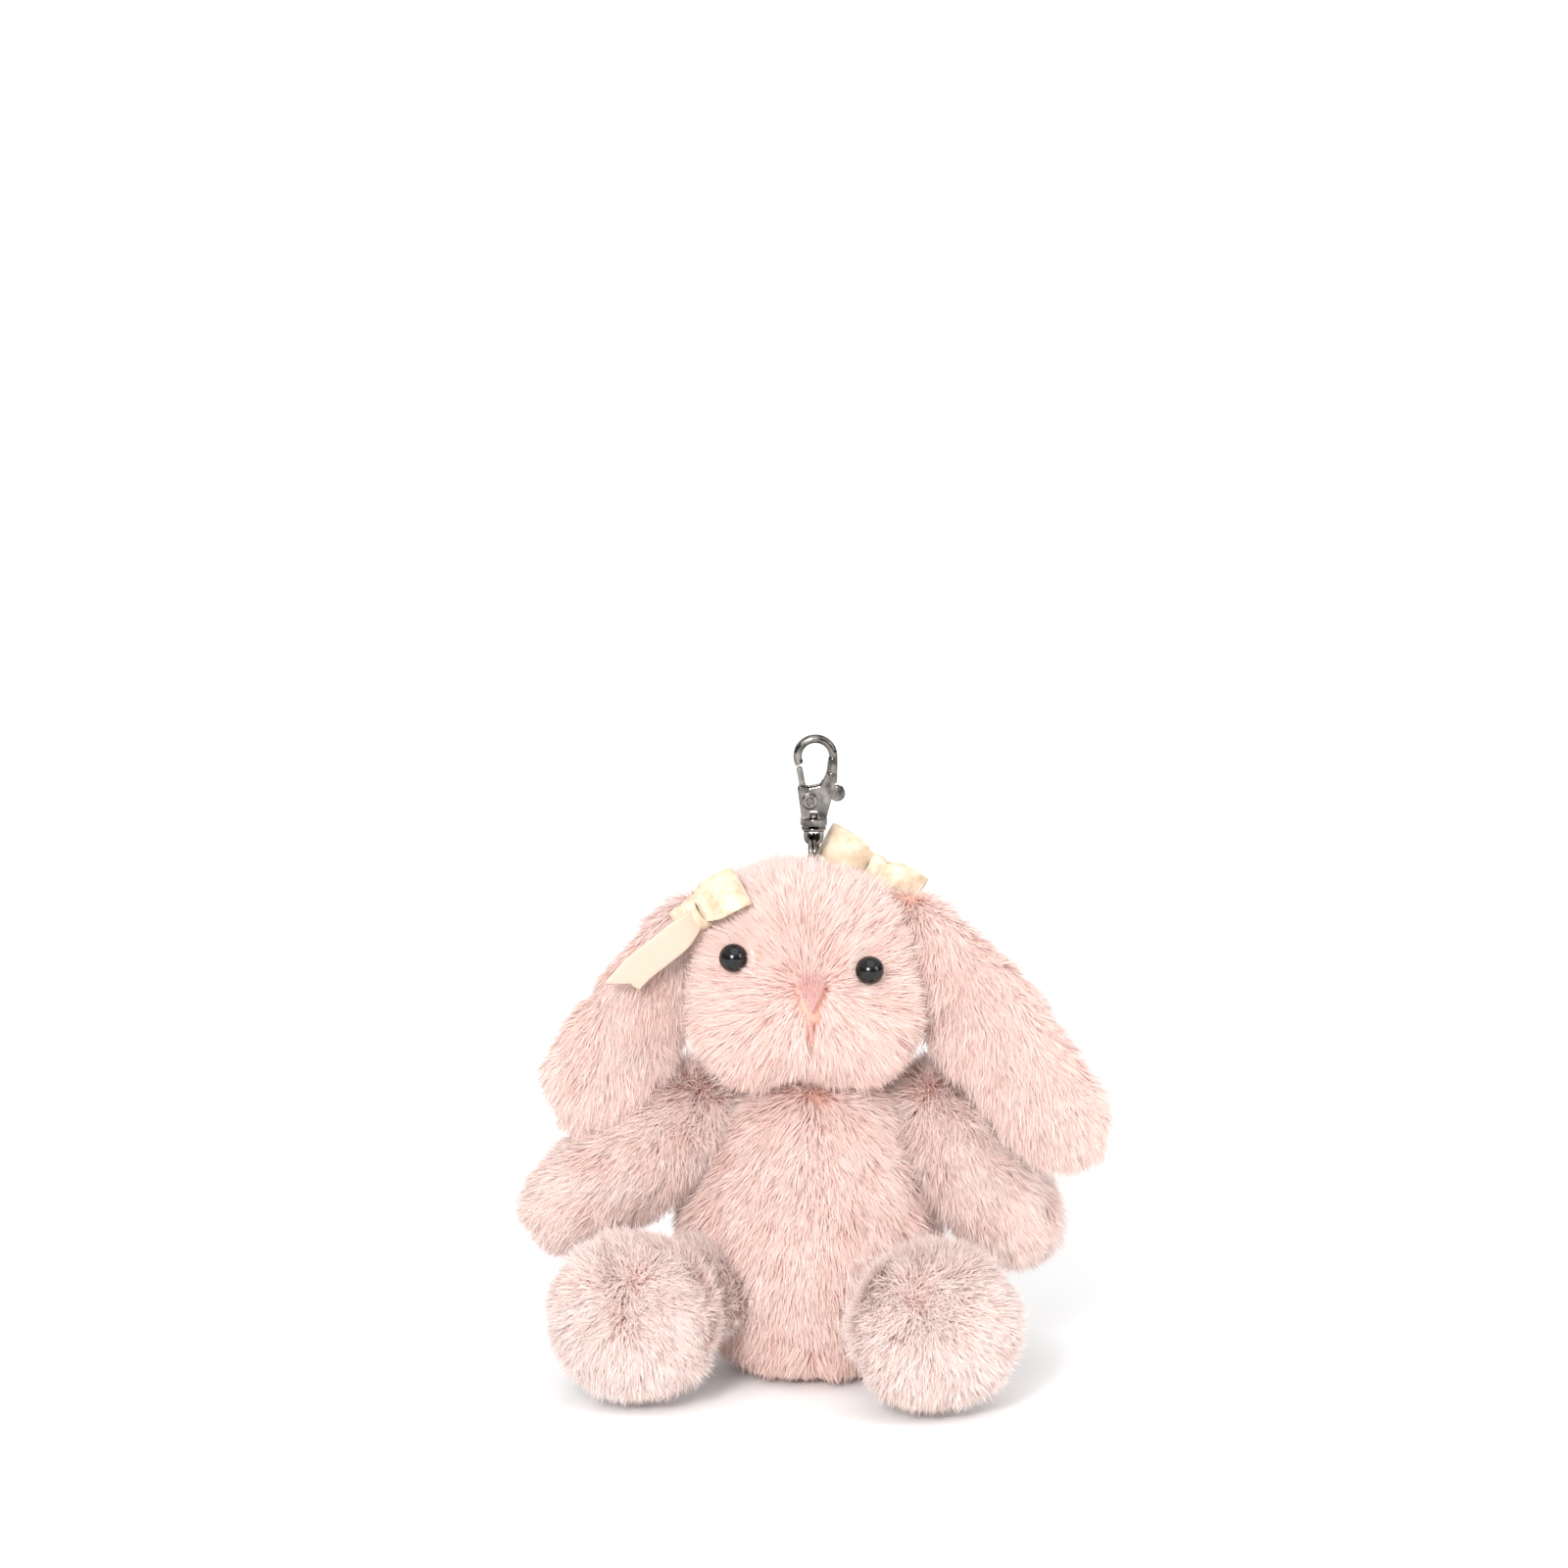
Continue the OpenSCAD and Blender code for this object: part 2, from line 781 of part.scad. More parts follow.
hook_start = 12;
hook_sweep = 219;
web_foot = [4.2, 0, 10.5];
web_extra_r = 0.45;
web_overrun = 0.4;
boss_r = 1.8;
boss_h = 0.5;
collar_sink = 0.4;
head_room_r = 0.3;
head_room_h = 1.2;
web_top = [hook_c.x + hook_r * cos(hook_start), 0, hook_c.y - hook_r * sin(hook_start)];

// Front outline of the clasp's body, from the collar up to the hook's foot
module body_outline() {
    polygon([[-2.9, collar_h - collar_sink], [-3.9, 8.9], [-3.4, 9.8], [-1.2, 9.3], [1.6, 9.9], [3.0, 12.8],
        [5.3, 12.4], [5.1, 9.6], [2.9, collar_h - collar_sink]]);
}

// Where the lever and the stem's riveted head sit inside the body
module lever_slot() {
    plate(slot_t) polygon([[-3.3, 7.5], [-2.2, collar_h + 2.6], [3.4, collar_h + 2.2], [7, 3.6], [7, 9.9],
        [2.7, 9.5], [2.2, 11.2], [-4.6, 11.2]]);
    translate([0, 0, collar_h])
        cylinder(r = stem_head_r + head_room_r, h = stem_head_h + head_room_h, $fn = round_fn);
}

module clasp_body() {
    color(STEEL) translate(clasp_c) difference() {
        union() {
            cylinder(r = collar_r, h = collar_h, $fn = round_fn);
            plate(body_t) body_outline();
            translate([hook_c.x, 0, hook_c.y]) rotate([90, 0, 0]) rotate([0, 0, -hook_start])
                rotate_extrude(angle = hook_sweep, $fn = round_fn)
                    translate([hook_r, 0]) circle(r = rod_r, $fn = round_fn);
            along(web_foot, web_top)
                cylinder(r1 = rod_r + web_extra_r, r2 = rod_r + bite,
                    h = norm(web_top - web_foot) + web_overrun, $fn = round_fn);
            for (face = [-1, 1]) translate([rivet_at.x, face * (body_t / 2 + bite), rivet_at.y])
                rotate([90, 0, 0]) cylinder(r = boss_r, h = boss_h, center = true, $fn = round_fn);
        }
        lever_slot();
        translate([0, 0, -1]) cylinder(r = stem_r + pin_gap, h = collar_h + 3, $fn = round_fn);
        translate([rivet_at.x, body_t, rivet_at.y]) rotate([90, 0, 0])
            cylinder(r = rivet_r + pin_gap, h = 2 * body_t, $fn = round_fn);
    }
}

lever_y = -0.3;
gate_foot = [-2.75, 9.9];
gate_tip = [-3.45, 13.7];
tab_c = [5.7, 7.8];
tab_r = 1.9;
hub_r = 1.75;
gate_foot_r = 0.7;
gate_tip_r = 0.75;
tab_arm_r = 0.8;
lever_side_gap = 0.1;
rivet_head = 0.4;

module clasp_lever() {
    color(STEEL) translate(clasp_c) difference() {
        union() {
            translate([0, lever_y, 0]) plate(lever_t) {
                translate(rivet_at) circle(r = hub_r, $fn = round_fn);
                bar2d(rivet_at, gate_foot, gate_foot_r);
                bar2d(gate_foot, gate_tip, gate_tip_r);
                bar2d(rivet_at, tab_c, tab_arm_r);
            }
            translate([tab_c.x, 0, tab_c.y]) rotate([90, 0, 0])
                cylinder(r = tab_r, h = slot_t - 2 * lever_side_gap, center = true, $fn = round_fn);
        }
        translate([rivet_at.x, body_t, rivet_at.y]) rotate([90, 0, 0])
            cylinder(r = rivet_r + pin_gap, h = 2 * body_t, $fn = round_fn);
    }
}

module lever_rivet() {
    color(STEEL) translate(clasp_c + [rivet_at.x, 0, rivet_at.y]) rotate([90, 0, 0])
        cylinder(r = rivet_r, h = body_t + 2 * rivet_head, center = true, $fn = round_fn);
}

spring_wire = 0.36;
spring_room = 0.45;
spring_r = rivet_r + spring_room;
spring_gap = 0.12;
spring_leg_r = spring_wire / 2 - 0.02;
spring_leg_l = [2.6, 2.2];
spring_splay = 100;

module lever_spring() {
    y = lever_y + lever_t / 2 + spring_wire / 2 + spring_gap;
    color("#8f8c8a") translate(clasp_c + [rivet_at.x, y, rivet_at.y]) {
        rotate([90, 0, 0]) rotate_extrude($fn = round_fn)
            translate([spring_r, 0]) circle(r = spring_wire / 2, $fn = round_fn);
        translate([-spring_r, 0, 0]) cylinder(r = spring_leg_r, h = spring_leg_l[0], $fn = round_fn);
        translate([spring_r, 0, 0]) rotate([0, spring_splay, 0])
            cylinder(r = spring_leg_r, h = spring_leg_l[1], $fn = round_fn);
    }
}

torso_front_panel();
torso_back_panel();
torso_stuffing();
pellet_pouch();
tail_cover();
tail_stuffing();
head_left_panel();
head_gusset();
head_right_panel();
head_stuffing();
left_eye();
right_eye();
left_eye_washer();
right_eye_washer();
nose_stitches();
mouth_stitch();
hanging_loop();
left_bow_loops();
left_bow_knot();
left_bow_tails();
right_bow_loops();
right_bow_knot();
right_bow_tails();
left_ear_front();
left_ear_back();
left_ear_wadding();
right_ear_front();
right_ear_back();
right_ear_wadding();
left_arm_front();
left_arm_back();
left_arm_stuffing();
right_arm_front();
right_arm_back();
right_arm_stuffing();
left_leg_upper();
left_leg_lower();
left_foot_sole();
left_leg_stuffing();
right_leg_upper();
right_leg_lower();
right_foot_sole();
right_leg_stuffing();
split_ring();
swivel_eye();
clasp_body();
clasp_lever();
lever_rivet();
lever_spring();
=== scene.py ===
import json
import math

import bmesh
import bpy
import numpy as np
from mathutils import Matrix, Vector, kdtree, noise


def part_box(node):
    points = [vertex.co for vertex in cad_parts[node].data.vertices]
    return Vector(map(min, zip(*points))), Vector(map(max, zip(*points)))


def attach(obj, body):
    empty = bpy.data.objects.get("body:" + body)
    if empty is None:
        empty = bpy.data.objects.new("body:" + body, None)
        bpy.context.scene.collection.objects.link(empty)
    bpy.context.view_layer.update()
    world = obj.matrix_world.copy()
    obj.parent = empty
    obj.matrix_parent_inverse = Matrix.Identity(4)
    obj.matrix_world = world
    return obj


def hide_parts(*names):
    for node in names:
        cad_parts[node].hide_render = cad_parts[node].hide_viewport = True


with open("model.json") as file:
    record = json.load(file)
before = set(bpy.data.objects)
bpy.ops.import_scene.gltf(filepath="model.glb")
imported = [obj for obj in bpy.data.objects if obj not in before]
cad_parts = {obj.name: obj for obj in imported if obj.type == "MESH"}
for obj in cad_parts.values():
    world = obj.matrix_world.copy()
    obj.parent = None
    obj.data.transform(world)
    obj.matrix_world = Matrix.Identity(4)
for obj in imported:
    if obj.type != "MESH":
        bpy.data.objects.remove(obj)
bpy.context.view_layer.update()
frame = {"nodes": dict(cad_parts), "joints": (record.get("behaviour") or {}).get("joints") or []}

scene = bpy.context.scene
mm = 0.001
pivots = {joint["name"]: Vector(joint["pos_m"]) / mm for joint in frame["joints"]}
print("frame loaded, pivots:", len(pivots))

# camera and light

view = {
    "elevation": 12,  # degrees above level
    "distance": 2500,
    "aim": (-7.2, 29.7, 139.7),
    "field": 384,  # width seen at the aim point
}


def setCamera(look):
    up = math.radians(look["elevation"])
    lens = bpy.data.cameras.new("productLens")
    lens.sensor_width = 36
    lens.lens = 36 * look["distance"] / look["field"]
    lens.clip_start = 0.05
    lens.clip_end = 60
    camera = bpy.data.objects.new("productCamera", lens)
    scene.collection.objects.link(camera)
    back = Vector((0, math.cos(up), -math.sin(up)))
    camera.location = (Vector(look["aim"]) - look["distance"] * back) * mm
    camera.rotation_euler = (math.radians(90) - up, 0, 0)
    scene.camera = camera


lightBox = {
    "sky": 0.86,  # even light from all round
    "top": 0.75,  # soft lamp overhead
    "front": 1.05,  # soft lamp behind the lens
    "key": 19.0,  # box above the lens, for the glints
    "side": 5.0,
}


def linear(hexCode):
    parts = [int(hexCode[i:i + 2], 16) / 255 for i in (1, 3, 5)]
    return [p / 12.92 if p <= 0.04045 else ((p + 0.055) / 1.055) ** 2.4 for p in parts] + [1.0]


def addNode(tree, kind, settings=None, links=None, stops=()):
    # links: {input name or index: a value, or (node, output)}; stops: a ramp's places and colours
    node = tree.nodes.new(kind)
    for name, value in (settings or {}).items():
        setattr(node, name, value)
    for name, value in (links or {}).items():
        socket = node.inputs[name]
        if isinstance(value, tuple) and isinstance(value[0], bpy.types.Node):
            tree.links.new(value[0].outputs[value[1]], socket)
        else:
            socket.default_value = value
    for i, (place, hexCode) in enumerate(stops):
        bar = node.color_ramp
        element = bar.elements[i] if i < 2 else bar.elements.new(place)
        element.position = place
        element.color = linear(hexCode)
    return node


def setLights(look):
    world = bpy.data.worlds.new("paleStudio")
    scene.world = world
    world.use_nodes = True
    tree = world.node_tree
    tree.nodes.clear()
    where = addNode(tree, "ShaderNodeTexCoord")
    axes = addNode(tree, "ShaderNodeSeparateXYZ", None, {0: (where, "Generated")})
    height = addNode(tree, "ShaderNodeMapRange", None, {
        "Value": (axes, "Z"), "From Min": -0.1, "From Max": 0.55})
    tone = addNode(tree, "ShaderNodeValToRGB", None, {"Fac": (height, "Result")}, [
        (0, "#3c3c3e"), (0.3, "#202021"), (0.35, "#ffffff"), (0.44, "#ffffff"),
        (0.5, "#202021"), (0.62, "#343436"), (0.72, "#f4f4f5"), (1, "#ffffff")])
    glow = addNode(tree, "ShaderNodeBackground", None, {"Color": (tone, "Color"), "Strength": look["sky"]})
    addNode(tree, "ShaderNodeOutputWorld", None, {"Surface": (glow, "Background")})

    def lamp(name, kind, energy, place, aim, **more):
        light = bpy.data.lights.new(name, kind)
        light.energy = energy
        for key, value in more.items():
            setattr(light, key, value)
        holder = bpy.data.objects.new(name, light)
        scene.collection.objects.link(holder)
        holder.location = place
        holder.rotation_euler = (Vector(aim) - Vector(place)).to_track_quat("-Z", "Y").to_euler()

    lamp("overhead", "SUN", look["top"], (0.3, -0.8, 2.2), (0, 0, 0.05), angle=math.radians(55))
    lamp("behindLens", "SUN", look["front"], (-0.5, -2.2, 1.0), (0, 0, 0.07), angle=math.radians(38))
    lamp("frontBox", "AREA", look["key"], (-0.35, -1.5, 0.75), (0, 0, 0.1), size=0.3)
    lamp("sideBox", "AREA", look["side"], (1.3, -0.7, 0.7), (0, 0, 0.07), size=0.7)


def layFloor():
    shape = bmesh.new()
    bmesh.ops.create_circle(shape, cap_ends=True, segments=64, radius=14)
    mesh = bpy.data.meshes.new("paperFloor")
    shape.to_mesh(mesh)
    shape.free()
    floor = bpy.data.objects.new("paperFloor", mesh)
    scene.collection.objects.link(floor)
    finish = bpy.data.materials.new("mattWhitePaper")  # seamless background paper, no gloss
    finish.use_nodes = True
    shader = finish.node_tree.nodes["Principled BSDF"]
    shader.inputs["Base Color"].default_value = linear("#f7f7f7")
    shader.inputs["Roughness"].default_value = 0.9
    shader.inputs["Specular IOR Level"].default_value = 0.1
    mesh.materials.append(finish)


setCamera(view)
setLights(lightBox)
layFloor()
scene.view_settings.view_transform = "Standard"
print("camera, lights and floor set")

# materials

waveBand = 0.314  # width of a Wave node's band at a scale of 1


def newFinish(name, **sockets):
    finish = bpy.data.materials.new(name)
    finish.use_nodes = True
    tree = finish.node_tree
    shader = tree.nodes["Principled BSDF"]
    for key, value in sockets.items():
        shader.inputs[key.replace("_", " ")].default_value = value
    return finish, tree, shader


def feed(tree, shader, **sources):
    # joins nodes to the shader: Base_Color=(node, output)
    for name, (node, output) in sources.items():
        tree.links.new(node.outputs[output], shader.inputs[name.replace("_", " ")])


def makePile():
    # polyester faux fur: matt, pale at the tips and deeper pink at the root, painted shade where the hairs
    # crowd
    finish, tree, shader = newFinish(
        "pinkPlushPile", Roughness=0.82, Specular_IOR_Level=0.25, Sheen_Weight=0.25, Sheen_Roughness=0.5)
    # the map's width holds each tuft's tint, its own tone plus painted shade and painted light from where
    # it grows; its height runs from root to tip
    spread = addNode(tree, "ShaderNodeUVMap", {"uv_map": "OFBake"})
    axes = addNode(tree, "ShaderNodeSeparateXYZ", None, {0: (spread, "UV")})
    # painted shade: the root colours are deeper pink than the tips
    root = addNode(tree, "ShaderNodeValToRGB", None, {"Fac": (axes, "X")}, [
        (0, "#d99d8d"), (0.5, "#e6b6a8"), (1, "#e9c8be")])
    tip = addNode(tree, "ShaderNodeValToRGB", None, {"Fac": (axes, "X")}, [
        (0, "#f5d5ca"), (0.35, "#f6e1da"), (0.7, "#f6e8e3"), (1, "#f5ece9")])
    along = addNode(tree, "ShaderNodeValToRGB", None, {"Fac": (axes, "Y")}, [
        (0, "#000000"), (0.25, "#8a8a8a"), (0.6, "#f0f0f0"), (1, "#ffffff")])
    shade = addNode(tree, "ShaderNodeMix", {"data_type": "RGBA"}, {
        0: (along, "Color"), 6: (root, "Color"), 7: (tip, "Color")})
    tree.links.new(shade.outputs[2], shader.inputs["Base Color"])
    glow = addNode(tree, "ShaderNodeBsdfTranslucent", None, {"Color": (shade, 2)})
    both = addNode(tree, "ShaderNodeMixShader", None, {0: 0.4, 1: (shader, "BSDF"), 2: (glow, "BSDF")})
    tree.links.new(both.outputs[0], tree.nodes["Material Output"].inputs["Surface"])
    return finish


def makeBacking():
    # warp-knitted polyester backing that the pile is rooted in, drawn with 1.2 mm loops so that they show
    finish, tree, shader = newFinish("knittedBacking", Roughness=0.95, Specular_IOR_Level=0.1)
    place = addNode(tree, "ShaderNodeTexCoord")
    loops = addNode(tree, "ShaderNodeTexVoronoi", None, {
        "Vector": (place, "Object"), "Scale": 1 / (1.2 * mm)})
    patches = addNode(tree, "ShaderNodeTexNoise", None, {
        "Vector": (place, "Object"), "Scale": 1 / (9 * mm)})
    tone = addNode(tree, "ShaderNodeValToRGB", None, {"Fac": (patches, "Fac")}, [
        (0.3, "#d49e8e"), (0.7, "#e2b6a8")])
    bump = addNode(tree, "ShaderNodeBump", None, {
        "Height": (loops, "Distance"), "Strength": 0.6, "Distance": 0.3 * mm})
    feed(tree, shader, Base_Color=(tone, "Color"), Normal=(bump, "Normal"))
    return finish


def makePouchCloth():
    # plain-woven cotton bag for the pellets, threads 0.6 mm apart
    finish, tree, shader = newFinish("wovenCottonPouch", Roughness=0.9, Specular_IOR_Level=0.2)
    place = addNode(tree, "ShaderNodeTexCoord")
    warp = addNode(tree, "ShaderNodeTexWave", {"bands_direction": "X"}, {
        "Vector": (place, "Object"), "Scale": waveBand / (0.6 * mm)})
    weft = addNode(tree, "ShaderNodeTexWave", {"bands_direction": "Z"}, {
        "Vector": (place, "Object"), "Scale": waveBand / (0.6 * mm)})
    weave = addNode(tree, "ShaderNodeMath", {"operation": "MAXIMUM"}, {0: (warp, "Fac"), 1: (weft, "Fac")})
    tone = addNode(tree, "ShaderNodeValToRGB", None, {"Fac": (weave, "Value")}, [
        (0, "#cfc8ba"), (1, "#efeae0")])
    bump = addNode(tree, "ShaderNodeBump", None, {
        "Height": (weave, "Value"), "Strength": 0.5, "Distance": 0.15 * mm})
    feed(tree, shader, Base_Color=(tone, "Color"), Normal=(bump, "Normal"))
    return finish


def makeEyeBlack():
    # moulded acrylic safety eye: near-black, high polish, a few fine scuffs in its gloss
    finish, tree, shader = newFinish("polishedAcrylicBlack", IOR=1.49, Specular_IOR_Level=0.5)
    place = addNode(tree, "ShaderNodeTexCoord")
    haze = addNode(tree, "ShaderNodeTexNoise", None, {
        "Vector": (place, "Object"), "Scale": 1 / (0.9 * mm), "Detail": 4})
    tone = addNode(tree, "ShaderNodeValToRGB", None, {"Fac": (haze, "Fac")}, [
        (0.3, "#030303"), (0.7, "#080707")])
    gloss = addNode(tree, "ShaderNodeMapRange", None, {
        "Value": (haze, "Fac"), "To Min": 0.03, "To Max": 0.1})
    feed(tree, shader, Base_Color=(tone, "Color"), Roughness=(gloss, "Result"))
    return finish


def makeWasherNylon():
    # moulded nylon locking washer: milky, a faint moulding haze
    finish, tree, shader = newFinish("mouldedNylon", IOR=1.53, Subsurface_Weight=0.1)
    place = addNode(tree, "ShaderNodeTexCoord")
    haze = addNode(tree, "ShaderNodeTexNoise", None, {"Vector": (place, "Object"), "Scale": 1 / (1.5 * mm)})
    tone = addNode(tree, "ShaderNodeValToRGB", None, {"Fac": (haze, "Fac")}, [
        (0.3, "#dedbd2"), (0.7, "#ece9e2")])
    gloss = addNode(tree, "ShaderNodeMapRange", None, {
        "Value": (haze, "Fac"), "To Min": 0.35, "To Max": 0.5})
    feed(tree, shader, Base_Color=(tone, "Color"), Roughness=(gloss, "Result"))
    return finish


def makeFloss():
    # six-strand cotton embroidery floss: soft shine, strands 0.22 mm apart
    finish, tree, shader = newFinish(
        "embroideryFloss", Roughness=0.5, Sheen_Weight=0.3, Specular_IOR_Level=0.4)
    where = addNode(tree, "ShaderNodeTexCoord")
    drawn = addNode(tree, "ShaderNodeMapping", None, {"Vector": (where, "Object"), "Scale": (1, 1, 0.35)})
    strands = addNode(tree, "ShaderNodeTexNoise", None, {
        "Vector": (drawn, "Vector"), "Scale": 1 / (0.22 * mm), "Detail": 3})
    tone = addNode(tree, "ShaderNodeValToRGB", None, {"Fac": (strands, "Fac")}, [
        (0.25, "#a5706e"), (0.5, "#c08e8b"), (0.75, "#d6b0ab")])
    bump = addNode(tree, "ShaderNodeBump", None, {
        "Height": (strands, "Fac"), "Strength": 0.5, "Distance": 0.08 * mm})
    feed(tree, shader, Base_Color=(tone, "Color"), Normal=(bump, "Normal"))
    return finish


def makeVelvet():
    # cream velvet ribbon: short cut pile; its colour is paler in brushed patches, painted sheen where the
    # pile catches light
    finish, tree, shader = newFinish(
        "creamVelvetRibbon", Roughness=0.7, Sheen_Weight=0.7, Sheen_Roughness=0.35,
        Sheen_Tint=linear("#fff6e6"), Specular_IOR_Level=0.25)
    place = addNode(tree, "ShaderNodeTexCoord")
    brushedSheen = addNode(tree, "ShaderNodeTexNoise", None, {
        "Vector": (place, "Object"), "Scale": 1 / (3.2 * mm), "Detail": 2})
    pile = addNode(tree, "ShaderNodeTexNoise", None, {
        "Vector": (place, "Object"), "Scale": 1 / (0.3 * mm), "Detail": 2})
    mixed = addNode(tree, "ShaderNodeMath", {"operation": "MULTIPLY_ADD"}, {
        0: (pile, "Fac"), 1: 0.35, 2: (brushedSheen, "Fac")})
    # painted sheen: the brushed patches lift the colour towards pale cream
    tone = addNode(tree, "ShaderNodeValToRGB", None, {"Fac": (mixed, "Value")}, [
        (0.42, "#bea58a"), (0.62, "#d0bba1"), (0.85, "#dfd0bb")])
    bump = addNode(tree, "ShaderNodeBump", None, {
        "Height": (pile, "Fac"), "Strength": 0.6, "Distance": 0.15 * mm})
    feed(tree, shader, Base_Color=(tone, "Color"), Normal=(bump, "Normal"))
    return finish


def makeSatin():
    # satin back of the same ribbon: smooth floats across its width, 0.4 mm ribs so that they show
    finish, tree, shader = newFinish(
        "creamSatinBack", Specular_IOR_Level=0.5, Sheen_Weight=0.2, Anisotropic=0.3)
    place = addNode(tree, "ShaderNodeTexCoord")
    ribs = addNode(tree, "ShaderNodeTexWave", {"bands_direction": "DIAGONAL"},
                   {"Vector": (place, "Object"), "Scale": waveBand / (0.4 * mm), "Distortion": 0.6})
    tone = addNode(tree, "ShaderNodeValToRGB", None, {"Fac": (ribs, "Fac")}, [
        (0, "#bfa694"), (1, "#cfbaa9")])
    gloss = addNode(tree, "ShaderNodeMapRange", None, {
        "Value": (ribs, "Fac"), "To Min": 0.32, "To Max": 0.45})
    bump = addNode(tree, "ShaderNodeBump", None, {
        "Height": (ribs, "Fac"), "Strength": 0.3, "Distance": 0.05 * mm})
    feed(tree, shader, Base_Color=(tone, "Color"), Roughness=(gloss, "Result"), Normal=(bump, "Normal"))
    return finish


def makeNickel(name, dark, pale, smooth, rough):
    # bright nickel plate over a zinc casting: mirror-like with a faint orange peel; its colour is painted
    # darker and paler in patches, painted dark reflections, and it is duller where paler
    finish, tree, shader = newFinish(name, Metallic=1.0)
    place = addNode(tree, "ShaderNodeTexCoord")
    patches = addNode(tree, "ShaderNodeTexNoise", None, {
        "Vector": (place, "Object"), "Scale": 1 / (2.5 * mm), "Detail": 5})
    peel = addNode(tree, "ShaderNodeTexNoise", None, {"Vector": (place, "Object"), "Scale": 1 / (0.8 * mm)})
    # painted reflection: the base colour runs from dark to pale in patches
    tone = addNode(tree, "ShaderNodeValToRGB", None, {"Fac": (patches, "Fac")}, [(0.3, dark), (0.65, pale)])
    gloss = addNode(tree, "ShaderNodeMapRange", None, {
        "Value": (patches, "Fac"), "To Min": smooth, "To Max": rough})
    bump = addNode(tree, "ShaderNodeBump", None, {
        "Height": (peel, "Fac"), "Strength": 0.15, "Distance": 0.05 * mm})
    feed(tree, shader, Base_Color=(tone, "Color"), Roughness=(gloss, "Result"), Normal=(bump, "Normal"))
    return finish


finishes = {
    "pile": makePile(),
    "backing": makeBacking(),
    "pouch": makePouchCloth(),
    "eye": makeEyeBlack(),
    "washer": makeWasherNylon(),
    "floss": makeFloss(),
    "velvet": makeVelvet(),
    "satin": makeSatin(),
    "nickel": makeNickel("brightNickelPlate", "#3f3c39", "#8b8681", 0.04, 0.12),
    "spring": makeNickel("drawnSpringSteel", "#8d8a88", "#b5b2af", 0.25, 0.38),
}
print("finishes made:", len(finishes))

# sewn covers


def newPiece(name, shape, finish, body, nodes=()):
    # takes a bmesh in millimetres and hangs the piece on its CAD body
    bmesh.ops.scale(shape, vec=(mm, mm, mm), verts=shape.verts)
    mesh = bpy.data.meshes.new(name)
    shape.to_mesh(mesh)
    shape.free()
    mesh.materials.append(finish)
    mesh.shade_smooth()
    piece = bpy.data.objects.new(name, mesh)
    scene.collection.objects.link(piece)
    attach(piece, body)
    if nodes:
        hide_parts(*nodes)
    return piece


def applied(piece):
    # bakes the live modifiers into the piece's own mesh
    bpy.context.view_layer.update()
    done = bpy.data.meshes.new_from_object(piece.evaluated_get(bpy.context.evaluated_depsgraph_get()))
    old = piece.data
    piece.modifiers.clear()
    piece.data = done
    done.name = piece.name
    bpy.data.meshes.remove(old)


def coordsOf(mesh):
    flat = np.empty(len(mesh.vertices) * 3, np.float32)
    mesh.vertices.foreach_get("co", flat)
    return flat.reshape(-1, 3).astype(np.float64)


stuffingLook = {
    "voxel": 3.6,
    "smooth": 6,
    "pressure": 4.0,
    "steps": 20,
    "cap": 1.8,  # the most that a cover swells
    "seamWidth": 1.6,
}


def inflate(piece, seams, cap):
    # fills the cover against its sewn seams
    before = coordsOf(piece.data)
    held = piece.vertex_groups.new(name="seams")
    near = np.zeros(len(before), bool)
    for point, normal in seams:
        normal = np.array(Vector(normal).normalized())
        near |= np.abs((before / mm - np.array(point)) @ normal) < stuffingLook["seamWidth"]
    held.add([int(i) for i in np.flatnonzero(near)], 1.0, "REPLACE")
    cloth = piece.modifiers.new("fill", "CLOTH")
    settings = cloth.settings
    settings.quality = 4
    settings.use_pressure = True
    settings.uniform_pressure_force = stuffingLook["pressure"]
    settings.effector_weights.gravity = 0
    settings.vertex_group_mass = "seams"
    cloth.collision_settings.use_collision = False
    cloth.point_cache.frame_start = 1
    cloth.point_cache.frame_end = stuffingLook["steps"]
    for step in range(1, stuffingLook["steps"] + 1):
        scene.frame_set(step)
    filled = piece.evaluated_get(bpy.context.evaluated_depsgraph_get())
    move = np.nan_to_num(coordsOf(filled.data) - before)
    reach = np.linalg.norm(move, axis=1, keepdims=True)
    move *= np.minimum(1, cap * mm / np.maximum(reach, 1e-9))
    piece.modifiers.clear()
    piece.vertex_groups.clear()
    piece.data.vertices.foreach_set("co", (before + move).ravel())
    piece.data.update()
    scene.frame_set(1)


